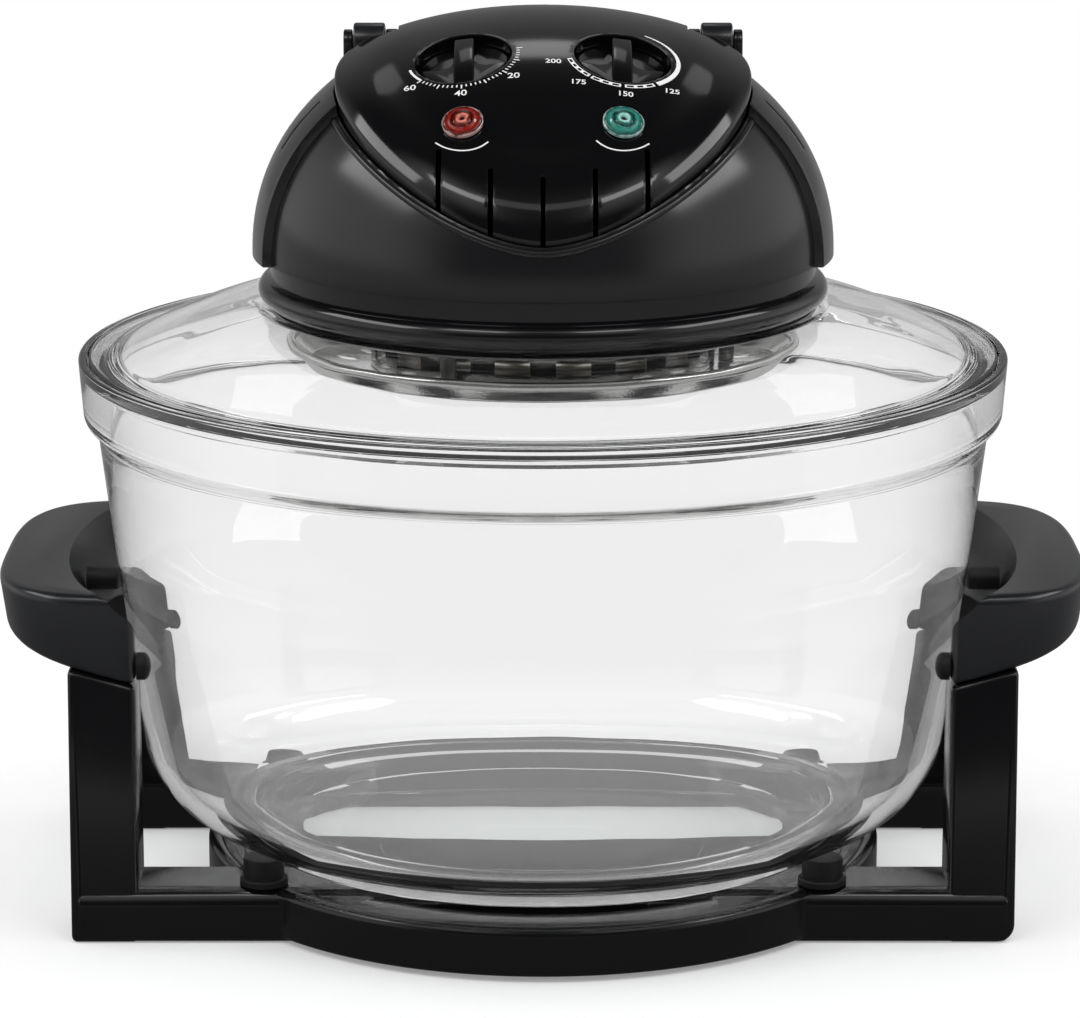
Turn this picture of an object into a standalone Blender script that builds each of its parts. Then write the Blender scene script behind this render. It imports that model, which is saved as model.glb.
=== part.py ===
"""Convection cooker: a glass bowl in a stand, under a lift-off glass lid with the heating head."""

import math

import bmesh
import bpy
from mathutils import Matrix, Vector

# Fits that several pieces share
TOUCH_GAP = 0.0003
TURNING_GAP = 0.0004
OVERRUN = 0.004
SMOOTH_ANGLE = math.radians(35)
FLAT_ANGLE = math.radians(0.1)
EDGE_ANGLE = math.radians(40)
SEGMENTS = 40
HIDDEN_SEGMENTS = 24
DIAL_SEGMENTS = 20
SMALL_SEGMENTS = 12

# Glass bowl; the radius of its wall under the rim drives the stand and the lid too
BOWL_RADIUS = 0.1608
BOWL_BASE_Z = 0.0235
FOOT_INSET = 0.0478
FOOT_RADIUS = BOWL_RADIUS - FOOT_INSET
FOOT_WIDTH = 0.006
FOOT_HEIGHT = 0.0065
CORNER_RADIUS = 0.033
WALL_FLARE = 0.0118
WALL_LOW_RADIUS = BOWL_RADIUS - WALL_FLARE
WALL_LOW_Z = 0.073
RIM_TOP_Z = 0.199
WALL_HIGH_DROP = 0.0285
WALL_HIGH_Z = RIM_TOP_Z - WALL_HIGH_DROP
GLASS_WALL = 0.0048
RIM_PROJECTION = 0.0067
RIM_RADIUS = BOWL_RADIUS + RIM_PROJECTION
RIM_BAND_HEIGHT = 0.0195
RIM_BAND_DRAFT = 0.0014
RIM_UNDERCUT = 0.0042
RIM_ROUND = 0.0011
REBATE_WIDTH = 0.0028
REBATE_DEPTH = 0.0045
LEDGE_INSET = 0.0103
LEDGE_RADIUS = RIM_RADIUS - LEDGE_INSET

# Radius of the dome on the lid, which drives the lid's hole, the heater and the head
DOME_RADIUS = 0.1045

# Glass lid
LID_CLEARANCE = 0.0008
LID_THICKNESS = 0.0046
LID_FLANGE_WIDTH = 0.0095
LID_RISE = 0.0185
LID_RISE_FULL_SHARE = 1.35
LID_FLAT_MARGIN = 0.011
LID_HOLE_INSET = 0.014
LID_HOLE_RADIUS = DOME_RADIUS - LID_HOLE_INSET
LID_FLAT_RADIUS = LID_HOLE_RADIUS + LID_FLAT_MARGIN
LID_SPIGOT_WIDTH = 0.0042
LID_SPIGOT_DEPTH = 0.0042
LID_SEAT_Z = RIM_TOP_Z - REBATE_DEPTH + TOUCH_GAP
LID_TOP_Z = LID_SEAT_Z + LID_THICKNESS + LID_RISE

# Stand moulding
RING_MARGIN = 0.0108
RING_WIDTH = 0.0233
RING_OUTER_RADIUS = FOOT_RADIUS + RING_MARGIN
RING_INNER_RADIUS = RING_OUTER_RADIUS - RING_WIDTH
RAIL_INSET = 0.019
RAIL_OUTER_Y = RING_INNER_RADIUS - RAIL_INSET
RAIL_DEPTH = 0.03
RAIL_TOP_Z = 0.0195
POST_MARGIN = 0.0066
POST_OUTER_X = BOWL_RADIUS + POST_MARGIN
HANDLE_LOW_Z = 0.0924
POST_BOWL_GAP = 0.001185
WALL_AT_POST = WALL_LOW_RADIUS + WALL_FLARE * (HANDLE_LOW_Z - WALL_LOW_Z) / (WALL_HIGH_Z - WALL_LOW_Z)
POST_INNER_X = math.sqrt(WALL_AT_POST**2 - (RAIL_OUTER_Y - RAIL_DEPTH) ** 2) + POST_BOWL_GAP
POST_TAPER_Y = 0.0073
STAND_EDGE = 0.0022
STAND_CORNER = 0.006
RING_UNDERSIDE_Z = 0.0022
RING_BEAD_WIDTH = 0.0062
RING_GROOVE_WIDTH = 0.0022
RING_GROOVE_DEPTH = 0.0026
RING_LEDGE_DROP = 0.0022

# Side handles
HANDLE_REACH = 0.0357
HANDLE_OUTER_X = BOWL_RADIUS + HANDLE_REACH
HANDLE_TOP_Z = 0.1254
HANDLE_UNDERSIDE_SLOPE_SHARE = 0.26
HANDLE_SIDE_DRAFT = 0.003
HANDLE_END_INSET = 0.0071
HANDLE_END_Y = RAIL_OUTER_Y - HANDLE_END_INSET
HANDLE_POWER_SHARE = 3.3
HANDLE_EDGE = 0.0032
HANDLE_OPENING_TOP_MARGIN = 0.0114
HANDLE_OPENING_BOTTOM_MARGIN = 0.0017
HANDLE_OPENING_TOP_X = BOWL_RADIUS + HANDLE_OPENING_TOP_MARGIN
HANDLE_OPENING_BOTTOM_X = BOWL_RADIUS + HANDLE_OPENING_BOTTOM_MARGIN
HANDLE_OPENING_TOP_INSET = 0.0015
HANDLE_OPENING_BOTTOM_INSET = 0.023
HANDLE_OPENING_TOP_Y = RAIL_OUTER_Y - HANDLE_OPENING_TOP_INSET
HANDLE_OPENING_BOTTOM_Y = RAIL_OUTER_Y - HANDLE_OPENING_BOTTOM_INSET
HANDLE_OPENING_POWER_SHARE = 2

# Rubber buffers and pads
HANDLE_BUFFER_RADIUS = 0.0042
HANDLE_BUFFER_Z = 0.113
POST_BUFFER_RADIUS = 0.0049
POST_BUFFER_Z = 0.0985
POST_BUFFER_INSET = 0.013
POST_BUFFER_Y = RAIL_OUTER_Y - POST_BUFFER_INSET
POST_BUFFER_SPREAD_SHARE = 0.7
POST_BUFFER_DOME_SHARE = 0.45
HANDLE_BUFFER_DOME_SHARE = 0.125
PAD_RADIUS = 0.0086
PAD_FLANGE = 0.0013
PAD_FLANGE_HEIGHT = 0.0022
PAD_INSET = 0.001
PAD_CIRCLE_RADIUS = RING_OUTER_RADIUS - PAD_INSET
PAD_RAIL_INSET = 0.00915
PAD_ANGLE = math.asin((RAIL_OUTER_Y - PAD_RAIL_INSET) / PAD_CIRCLE_RADIUS)

# Head: lower housing, base plate and gasket
COLLAR_INSET = 0.002
COLLAR_RADIUS = DOME_RADIUS - COLLAR_INSET
COLLAR_BEAD_HEIGHT = 0.0086
COLLAR_LIP_WIDTH = 0.003
COLLAR_NECK_INSET = 0.0043
COLLAR_NECK_RADIUS = COLLAR_RADIUS - COLLAR_NECK_INSET
COLLAR_WIDTH = 0.0163
COLLAR_INNER_RADIUS = COLLAR_RADIUS - COLLAR_WIDTH
COLLAR_HEIGHT = 0.0214
COLLAR_TOP_Z = LID_TOP_Z + COLLAR_HEIGHT
COLLAR_FLOOR_THICKNESS = 0.0025
GASKET_THICKNESS = 0.0014
GASKET_WIDTH = 0.006
BASE_PLATE_THICKNESS = 0.0012
BASE_PLATE_INSET = 0.0027
BASE_PLATE_RADIUS = COLLAR_INNER_RADIUS - BASE_PLATE_INSET
BASE_PLATE_RISE = 0.0083
BASE_PLATE_Z = LID_TOP_Z + BASE_PLATE_RISE
SHAFT_HOLE_RADIUS = 0.006

# Head: dome covers
DOME_OVERLAP = 0.0036
DOME_EQUATOR_Z = COLLAR_TOP_Z - DOME_OVERLAP
DOME_RISE = 0.0845
DOME_POWER_SHARE = 2.1
DOME_SKIRT_DEPTH = 0.0011
DOME_SKIRT_Z = DOME_EQUATOR_Z - DOME_SKIRT_DEPTH
DOME_WALL = 0.0025
REAR_WALL = 0.0052
FRONT_STEP = 0.003
SEAM_Y = -0.033
SEAT_RIB_INSET = 0.011
SEAT_RIB_RADIUS = DOME_RADIUS - SEAT_RIB_INSET
SEAT_RIB_HEIGHT = 0.0028
VENT_COUNT = 7
VENT_WIDTH = 0.003
VENT_HEIGHT = 0.022
VENT_PITCH = 0.0085
VENT_RISE = 0.0308
VENT_Z = DOME_EQUATOR_Z + VENT_RISE
SIDE_SLOT_Y = -0.0177
SIDE_SLOT_WIDTH = 0.0017
SIDE_SLOT_RISE = 0.0388
SIDE_SLOT_HEIGHT = 0.017
SIDE_SLOT_LOW_Z = DOME_EQUATOR_Z + SIDE_SLOT_RISE
SIDE_SLOT_HIGH_Z = SIDE_SLOT_LOW_Z + SIDE_SLOT_HEIGHT
GLAND_RADIUS = 0.0062
GLAND_BORE_RADIUS = 0.0037
GLAND_LENGTH = 0.013
GLAND_FLANGE = 0.0022
GLAND_FLANGE_LENGTH = 0.002
GLAND_RISE = 0.0118
GLAND_Z = DOME_EQUATOR_Z + GLAND_RISE

# Head: control panel
PANEL_CREST_Y = 0.015
PANEL_CREST_RISE = 0.0013
PANEL_CREST_Z = DOME_EQUATOR_Z + DOME_RISE + PANEL_CREST_RISE
PANEL_FRONT_MARGIN = 0.0135
PANEL_REACH = DOME_RADIUS + PANEL_FRONT_MARGIN
PANEL_DROP = 0.0858
PANEL_POWER_SHARE = 1.8
PANEL_SIDE_ARC = 0.2
PANEL_SIDE_INSET = 0.031
PANEL_LOW_INSET = 0.0142
PANEL_HALF_WIDTH = DOME_RADIUS - PANEL_SIDE_INSET
PANEL_LOW_REACH = DOME_RADIUS - PANEL_LOW_INSET
PANEL_LOW_POWER_SHARE = 1.8
PANEL_HIGH_REACH = 0.042
PANEL_HIGH_POWER_SHARE = 2.4
PANEL_WIDEST_V = -0.0262
PANEL_TILT = math.radians(40)
PANEL_WALL = 0.0026
PANEL_SKIRT = 0.009
PANEL_REAR_ANGLE = math.radians(40)
PANEL_FRONT_ANGLE = math.radians(87)
PANEL_CUT_LOW = 0.0435
PANEL_CUT_HIGH = 0.13
SLOT_WIDTH = 0.0018
SLOT_SPACING = 0.0178
SLOT_TOP_DROPS = (0.0457, 0.0433, 0.0379)
SLOT_BOTTOM_DROP = 0.0725

# Dials
DIAL_X = 0.028
DIAL_Y = -0.0326
DISH_RADIUS = 0.0169
DISH_DEPTH = 0.0088
DISH_WALL = 0.0022
DISH_JOIN_SHARE = 0.6
KNOB_RADIUS = 0.0161
KNOB_BASE_HEIGHT = 0.0032
GRIP_WIDTH = 0.0074
GRIP_HEIGHT = 0.0074
GRIP_FLARE_WIDTH = 0.0164
GRIP_FLARE_START = 0.0035
SPINDLE_RADIUS = 0.003
SPINDLE_LENGTH = 0.019
SPINDLE_SOCKET = 0.0065
TIMER_WIDTH = 0.029
TIMER_DEPTH = 0.027
TIMER_HEIGHT = 0.017
THERMOSTAT_RADIUS = 0.0135
THERMOSTAT_HEIGHT = 0.015
SWITCHGEAR_EDGE = 0.0012
SPINDLE_BORE_DEPTH = 0.011

# Indicator lamps
LAMP_X = 0.0275
LAMP_Y = -0.0666
LENS_RADIUS = 0.0072
LENS_HEIGHT = 0.003
LENS_FLANGE_HEIGHT = 0.0012
LENS_STEM_RADIUS = 0.005
LENS_STEM_LENGTH = 0.008
LENS_DOME_RADIUS_SHARE = 0.5
LENS_DOME_FALL_SHARE = 0.25

# Carry handle, its pivots and the safety switch
PIVOT_Y = 0.0135
PIVOT_DROP = 0.013
PIVOT_Z = PANEL_CREST_Z - PIVOT_DROP
BAIL_PATH_SHARES = (
    (0.5967, 0.1292),
    (0.5967, 0.2105),
    (0.5967, 0.3014),
    (0.5952, 0.4354),
    (0.5742, 0.5789),
    (0.5072, 0.7129),
    (0.3828, 0.8057),
    (0.2105, 0.8565),
    (0, 0.8708),
)
BAIL_DROPS = (0, -0.0003, 0.0004, 0.0051, 0.0103, 0.0136, 0.0155, 0.0166, 0.0169)
BAIL_EYE_X = BAIL_PATH_SHARES[0][0] * DOME_RADIUS
NOTCH_MARGIN = 0.01065
NOTCH_X = BAIL_EYE_X - NOTCH_MARGIN
NOTCH_Y = 0.0045
NOTCH_RELIEF_MARGIN = 0.01835
NOTCH_RELIEF_X = BAIL_EYE_X - NOTCH_RELIEF_MARGIN
NOTCH_RELIEF_Y = 0.0075
NOTCH_RELIEF_DROP = 0.0084
NOTCH_RELIEF_Z = PANEL_CREST_Z - NOTCH_RELIEF_DROP
BAIL_LEAN = math.radians(-12)
BAIL_THICKNESS = 0.0065
BAIL_WIDTH = 0.0113
BAIL_CORNER = 0.0017
EYE_RADIUS = 0.0068
EYE_CLEARANCE = 0.001
LUG_RADIUS = 0.0046
LUG_DEPTH = 0.004
LUG_LOW_Z = PIVOT_Z - LUG_DEPTH
CHEEK_WIDTH = 0.0032
CHEEK_RADIUS = 0.0044
CHEEK_DEPTH = 0.011
CHEEK_LOW_Z = PIVOT_Z - CHEEK_DEPTH
CHEEK_BORE_SHARE = 0.6
PIN_RADIUS = 0.0025
PIN_INNER_MARGIN = 0.01585
PIN_INNER_X = BAIL_EYE_X - PIN_INNER_MARGIN
CAM_RADIUS = 0.003
CAM_WIDTH = 0.003
CAM_OFFSET = 0.0012
SWITCH_WIDTH = 0.0065
SWITCH_DEPTH = 0.016
SWITCH_HEIGHT = 0.0105
SWITCH_BUTTON_RADIUS = 0.0013
SWITCH_BUTTON_LENGTH = 0.006
SWITCH_GAP_BELOW_CAM = 0.0026
SWITCH_ARM_Y = 0.04
SWITCH_POST_WIDTH = 0.006

# Motor, fans and shaft
MOTOR_RADIUS = 0.0265
MOTOR_HEIGHT = 0.019
MOTOR_RISE = 0.0243
MOTOR_Z = BASE_PLATE_Z + MOTOR_RISE
MOTOR_HUB_RADIUS = 0.008
MOTOR_HUB_HEIGHT = 0.003
MOTOR_BORE_DEPTH = 0.012
BRACKET_THICKNESS = 0.0016
BRACKET_WIDTH = 0.024
BRACKET_REACH = 0.062
COOLING_FAN_RADIUS = 0.052
COOLING_FAN_RISE = 0.0058
COOLING_FAN_Z = BASE_PLATE_Z + COOLING_FAN_RISE
COOLING_BLADE_HEIGHT = 0.008
COOLING_BLADES = 9
CONVECTION_FAN_RADIUS = 0.047
CONVECTION_FAN_DROP = 0.0114
CONVECTION_FAN_Z = LID_TOP_Z - CONVECTION_FAN_DROP
CONVECTION_BLADE_HEIGHT = 0.0045
CONVECTION_BLADES = 8
COOLING_BLADE_SWEEP = math.radians(20)
CONVECTION_BLADE_SWEEP = math.radians(26)
BLADE_THICKNESS = 0.0009
FAN_DISC_THICKNESS = 0.0009
FAN_HUB_RADIUS = 0.0062
SHAFT_RADIUS = 0.0025
SHAFT_DROP = 0.0144
SHAFT_LOW_Z = LID_TOP_Z - SHAFT_DROP

# Heater under the lid
REFLECTOR_OVERLAP = 0.008
REFLECTOR_RADIUS = LID_HOLE_RADIUS + REFLECTOR_OVERLAP
REFLECTOR_THICKNESS = 0.001
REFLECTOR_HOLE_MARGIN = 0.022
REFLECTOR_HOLE_CIRCLE = REFLECTOR_RADIUS - REFLECTOR_HOLE_MARGIN
REFLECTOR_HOLES = 16
REFLECTOR_HOLE_RADIUS = 0.0052
CAGE_RADIUS = 0.0615
CAGE_WALL = 0.001
CAGE_WINDOWS = 18
CAGE_WINDOW_WIDTH = 0.0125
CAGE_WINDOW_HEIGHT = 0.0072
PAN_INSET = 0.0068
PAN_RADIUS = REFLECTOR_RADIUS - PAN_INSET
PAN_SLOPE_WIDTH = 0.0072
PAN_FLOOR_RADIUS = PAN_RADIUS - PAN_SLOPE_WIDTH
PAN_DROP = 0.0212
PAN_FLOOR_Z = LID_TOP_Z - PAN_DROP
PAN_RIM_HEIGHT = 0.0079
PAN_RIM_Z = PAN_FLOOR_Z + PAN_RIM_HEIGHT
PAN_SHEET = 0.001
PAN_BEAD = 0.0016
PAN_HOLES = 18
PAN_HOLE_MARGIN = 0.013
PAN_HOLE_CIRCLE = PAN_FLOOR_RADIUS - PAN_HOLE_MARGIN
PAN_HOLE_RADIUS = 0.0062
PAN_HOLE_SQUASH_SHARE = 0.62
PAN_CENTRE_HOLES = 8
PAN_CENTRE_HOLE_CIRCLE = 0.026
PAN_CENTRE_HOLE_RADIUS = 0.0075
LAMP_TUBE_RADIUS = 0.0042
LAMP_RING_RADIUS = 0.0535
LAMP_TUBE_RISE = 0.0078
LAMP_TUBE_Z = PAN_FLOOR_Z + LAMP_TUBE_RISE
LAMP_OPEN_ANGLE = math.radians(36)
LAMP_CAP_LENGTH = 0.011
LAMP_CAP_WIDTH = 0.0102
HANGER_RADIUS = 0.0028
HANGERS = 3

PARTS = None
CUTTERS = None


def start_scene():
    """Empties the scene and makes the collections for the pieces and for the shapes that cut them."""
    global PARTS, CUTTERS
    for obj in list(bpy.data.objects):
        bpy.data.objects.remove(obj)
    PARTS = bpy.data.collections.new("glass_convection_cooker")
    CUTTERS = bpy.data.collections.new("cutters")
    CUTTERS.hide_render = True
    for collection in (PARTS, CUTTERS):
        bpy.context.scene.collection.children.link(collection)


def material(name, colour, roughness, metallic=0.0, alpha=1.0):
    made = bpy.data.materials.new(name)
    made.use_nodes = True
    shader = made.node_tree.nodes["Principled BSDF"]
    shader.inputs["Base Color"].default_value = (*colour, 1.0)
    shader.inputs["Roughness"].default_value = roughness
    shader.inputs["Metallic"].default_value = metallic
    shader.inputs["Alpha"].default_value = alpha
    return made


def piece(name, mesh, finish):
    """A sub-part of the cooker, smooth where its faces meet at a shallow angle."""
    obj = bpy.data.objects.new(name, mesh)
    mesh.shade_smooth()
    mesh.set_sharp_from_angle(angle=SMOOTH_ANGLE)
    mesh.materials.append(finish)
    PARTS.objects.link(obj)
    return obj


def helper(name, mesh):
    """A shape that only cuts or joins, left out of the finished cooker."""
    obj = bpy.data.objects.new(name, mesh)
    obj.hide_render = True
    obj.display_type = "WIRE"
    CUTTERS.objects.link(obj)
    return obj


def boolean(target, other, operation):
    made = target.modifiers.new(other.name, "BOOLEAN")
    made.operation = operation
    made.object = other
    made.solver = "EXACT"


def cut(target, *others):
    for other in others:
        boolean(target, other, "DIFFERENCE")


def join(target, *others):
    for other in others:
        boolean(target, other, "UNION")


def keep(target, other):
    boolean(target, other, "INTERSECT")


def block_mesh(name, low, high, edge=0.0, rounds=2):
    """A box between two corners, its edges rounded where edge is given."""
    shape = bmesh.new()
    bmesh.ops.create_cube(shape, size=1.0)
    size = Vector(high) - Vector(low)
    middle = (Vector(high) + Vector(low)) / 2
    bmesh.ops.scale(shape, vec=size, verts=shape.verts)
    bmesh.ops.translate(shape, vec=middle, verts=shape.verts)
    if edge:
        edges = shape.edges[:]
        bmesh.ops.bevel(shape, geom=edges, offset=edge, segments=rounds, affect="EDGES", profile=0.5)
    return finished(shape, name)


def rod_mesh(name, radius, low, high, segments=SMALL_SEGMENTS, top_radius=None, turn=None):
    """A cylinder or cone along Z from low to high, turned by a matrix where one is given."""
    shape = bmesh.new()
    bmesh.ops.create_cone(
        shape,
        cap_ends=True,
        segments=segments,
        radius1=radius,
        radius2=radius if top_radius is None else top_radius,
        depth=high - low,
    )
    bmesh.ops.translate(shape, vec=(0, 0, (low + high) / 2), verts=shape.verts)
    if turn is not None:
        bmesh.ops.transform(shape, matrix=turn, verts=shape.verts)
    return finished(shape, name)


def finished(shape, name):
    mesh = bpy.data.meshes.new(name)
    bmesh.ops.recalc_face_normals(shape, faces=shape.faces)
    shape.to_mesh(mesh)
    shape.free()
    return mesh


def plate_mesh(name, outline, low, high):
    """A flat outline, extruded between two heights."""
    curve = bpy.data.curves.new(name, "CURVE")
    curve.dimensions = "2D"
    curve.fill_mode = "BOTH"
    curve.extrude = (high - low) / 2
    spline = curve.splines.new("POLY")
    spline.points.add(len(outline) - 1)
    for point, (x, y) in zip(spline.points, outline):
        point.co = (x, y, 0, 1)
    spline.use_cyclic_u = True
    return mesh_of_curve(name, curve, (low + high) / 2)


def slab_mesh(name, outline, low_x, high_x):
    """An outline of (y, z) points, extruded between two places on X."""
    mesh = plate_mesh(name, outline, low_x, high_x)
    mesh.transform(Matrix(((0, 0, 1, 0), (1, 0, 0, 0), (0, 1, 0, 0), (0, 0, 0, 1))))
    return mesh


def tube_mesh(name, path, radius, resolution=3, closed=False):
    """A round tube along a path of points."""
    curve = bpy.data.curves.new(name, "CURVE")
    curve.dimensions = "3D"
    curve.bevel_depth = radius
    curve.bevel_resolution = resolution
    curve.use_fill_caps = True
    spline = curve.splines.new("POLY")
    spline.points.add(len(path) - 1)
    for point, place in zip(spline.points, path):
        point.co = (*place, 1)
    spline.use_cyclic_u = closed
    return mesh_of_curve(name, curve, 0)


def mesh_of_curve(name, curve, height):
    """The closed mesh of a curve, raised to a height, so that it can be cut and joined."""
    maker = bpy.data.objects.new(name, curve)
    CUTTERS.objects.link(maker)
    bpy.context.view_layer.update()
    graph = bpy.context.evaluated_depsgraph_get()
    mesh = bpy.data.meshes.new_from_object(maker.evaluated_get(graph))
    shape = bmesh.new()
    shape.from_mesh(mesh)
    bmesh.ops.remove_doubles(shape, verts=shape.verts, dist=TOUCH_GAP / SEGMENTS)
    bmesh.ops.dissolve_limit(shape, angle_limit=FLAT_ANGLE, verts=shape.verts, edges=shape.edges)
    bmesh.ops.recalc_face_normals(shape, faces=shape.faces)
    bmesh.ops.translate(shape, vec=(0, 0, height), verts=shape.verts)
    shape.to_mesh(mesh)
    shape.free()
    bpy.data.objects.remove(maker)
    return mesh


def turned_mesh(name, profile, closed, segments=SEGMENTS):
    """A profile of (radius, height) points, its outer side running downwards, spun about Z."""
    mesh = bpy.data.meshes.new(name)
    count = len(profile)
    edges = [(i, i + 1) for i in range(count - 1)]
    if closed:
        edges.append((count - 1, 0))
    mesh.from_pydata([(radius, 0, height) for radius, height in profile], edges, [])
    maker = bpy.data.objects.new(name, mesh)
    CUTTERS.objects.link(maker)
    screw = maker.modifiers.new("spin", "SCREW")
    screw.steps = segments
    screw.render_steps = segments
    screw.use_merge_vertices = True
    screw.merge_threshold = TOUCH_GAP / SEGMENTS
    bpy.context.view_layer.update()
    graph = bpy.context.evaluated_depsgraph_get()
    made = bpy.data.meshes.new_from_object(maker.evaluated_get(graph))
    bpy.data.objects.remove(maker)
    return made


def arc(centre_r, centre_z, radius, start, end, steps):
    """Points on an arc, with angles in degrees from +X towards +Z."""
    points = []
    for i in range(steps + 1):
        angle = math.radians(start + (end - start) * i / steps)
        points.append((centre_r + radius * math.cos(angle), centre_z + radius * math.sin(angle)))
    return points


def power_arc(reach_x, reach_y, power, start, end, steps):
    """Points on a superellipse, with angles in degrees."""
    points = []
    for i in range(steps + 1):
        angle = math.radians(start + (end - start) * i / steps)
        x = reach_x * abs(math.cos(angle)) ** (2 / power)
        y = reach_y * abs(math.sin(angle)) ** (2 / power)
        points.append((math.copysign(x, math.cos(angle)), math.copysign(y, math.sin(angle))))
    return points


def around(centre, matrix):
    return Matrix.Translation(centre) @ matrix


def ring_of(count, first=0.0):
    return [first + 2 * math.pi * i / count for i in range(count)]


# The glass bowl


def wall_radius(height):
    """Outer radius of the bowl's sloping wall at a height."""
    slope = (BOWL_RADIUS - WALL_LOW_RADIUS) / (WALL_HIGH_Z - WALL_LOW_Z)
    return WALL_LOW_RADIUS + slope * (height - WALL_LOW_Z)


def make_bowl(glass):
    slope = (BOWL_RADIUS - WALL_LOW_RADIUS) / (WALL_HIGH_Z - WALL_LOW_Z)
    tilt = math.degrees(math.atan(slope))
    floor_z = BOWL_BASE_Z + FOOT_HEIGHT
    corner_z = floor_z + CORNER_RADIUS
    corner_r = wall_radius(corner_z) - CORNER_RADIUS * math.sqrt(1 + slope * slope)
    band_z = RIM_TOP_Z - RIM_BAND_HEIGHT
    ledge_z = RIM_TOP_Z - REBATE_DEPTH
    rebate_r = RIM_RADIUS - REBATE_WIDTH
    band_r = RIM_RADIUS - RIM_BAND_DRAFT
    neck_z = band_z - RIM_UNDERCUT
    inner_corner = CORNER_RADIUS - GLASS_WALL
    inner_neck_z = neck_z + GLASS_WALL
    profile = [(0, floor_z + GLASS_WALL)]
    profile += arc(corner_r, corner_z, inner_corner, -90, -tilt, 5)
    profile += [(wall_radius(inner_neck_z) - GLASS_WALL, inner_neck_z)]
    profile += [(LEDGE_RADIUS, ledge_z), (rebate_r, ledge_z)]
    profile += [(rebate_r, RIM_TOP_Z), (RIM_RADIUS - RIM_ROUND, RIM_TOP_Z)]
    profile += [(RIM_RADIUS, RIM_TOP_Z - RIM_ROUND)]
    profile += arc(band_r - RIM_UNDERCUT, band_z, RIM_UNDERCUT, 0, -70, 3)
    profile += [(wall_radius(neck_z - RIM_UNDERCUT), neck_z - RIM_UNDERCUT)]
    profile += arc(corner_r, corner_z, CORNER_RADIUS, -tilt, -90, 6)
    profile += [(FOOT_RADIUS, floor_z), (FOOT_RADIUS - RIM_ROUND, BOWL_BASE_Z)]
    profile += [(FOOT_RADIUS - FOOT_WIDTH, BOWL_BASE_Z), (FOOT_RADIUS - FOOT_WIDTH - RIM_ROUND, floor_z)]
    profile += [(0, floor_z)]
    return piece("glass_bowl", turned_mesh("glass_bowl", profile, False), glass)


def make_lid(glass):
    edge_r = RIM_RADIUS - REBATE_WIDTH - LID_CLEARANCE
    seat_z = LID_SEAT_Z
    flange_r = edge_r - LID_FLANGE_WIDTH
    top = [(LID_HOLE_RADIUS, LID_TOP_Z)]
    under = [(LID_HOLE_RADIUS, LID_TOP_Z - LID_THICKNESS)]
    steps = 5
    for i in range(steps + 1):
        share = i / steps
        radius = LID_FLAT_RADIUS + (flange_r - LID_FLAT_RADIUS) * share
        fall = share * share
        rise = LID_RISE * (1 - (LID_RISE_FULL_SHARE - 1) * share - (2 - LID_RISE_FULL_SHARE) * fall)
        top.append((radius, seat_z + LID_THICKNESS + rise))
        under.append((radius, seat_z + rise))
    spigot_r = LEDGE_RADIUS - LID_CLEARANCE
    rim = [(edge_r - RIM_ROUND, seat_z + LID_THICKNESS), (edge_r, seat_z + LID_THICKNESS - RIM_ROUND)]
    rim += [(edge_r, seat_z), (spigot_r, seat_z), (spigot_r, seat_z - LID_SPIGOT_DEPTH)]
    rim += [(spigot_r - LID_SPIGOT_WIDTH, seat_z - LID_SPIGOT_DEPTH)]
    under[-1] = (spigot_r - LID_SPIGOT_WIDTH, seat_z + RIM_ROUND)
    profile = top + rim + under[::-1]
    return piece("glass_lid", turned_mesh("glass_lid", profile, True), glass)


# The stand, its side handles and its rubber pads


def make_stand(plastic):
    ledge_z = RAIL_TOP_Z - RING_LEDGE_DROP
    bead_r = RING_OUTER_RADIUS - RING_BEAD_WIDTH
    half_bead = RING_BEAD_WIDTH / 2
    groove_z = RAIL_TOP_Z - RING_GROOVE_DEPTH
    profile = arc(RING_OUTER_RADIUS - half_bead, RAIL_TOP_Z - half_bead, half_bead, 180, 0, 4)
    profile += [(RING_OUTER_RADIUS, RING_UNDERSIDE_Z), (RING_INNER_RADIUS, RING_UNDERSIDE_Z)]
    profile += [(RING_INNER_RADIUS, ledge_z), (bead_r - RING_GROOVE_WIDTH, ledge_z)]
    profile += [(bead_r - RING_GROOVE_WIDTH, groove_z), (bead_r, groove_z)]
    stand = piece("stand_frame", turned_mesh("stand_frame", profile, True), plastic)
    inner_y = RAIL_OUTER_Y - RAIL_DEPTH
    for side, end in ((-1, "front"), (1, "rear")):
        low_y, high_y = sorted((side * RAIL_OUTER_Y, side * inner_y))
        rail = block_mesh(
            f"rail_{end}",
            (-POST_OUTER_X + STAND_EDGE, low_y, TOUCH_GAP),
            (POST_OUTER_X - STAND_EDGE, high_y, RAIL_TOP_Z),
            STAND_EDGE,
        )
        join(stand, helper(f"rail_{end}", rail))
        for hand, where in ((-1, "left"), (1, "right")):
            low_x, high_x = sorted((hand * POST_OUTER_X, hand * (POST_INNER_X)))
            low = (low_x, low_y + TOUCH_GAP)
            high = (high_x, high_y - TOUCH_GAP)
            post = post_mesh(f"post_{end}_{where}", low, high, hand, side)
            join(stand, helper(f"post_{end}_{where}", post))
    return stand


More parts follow.
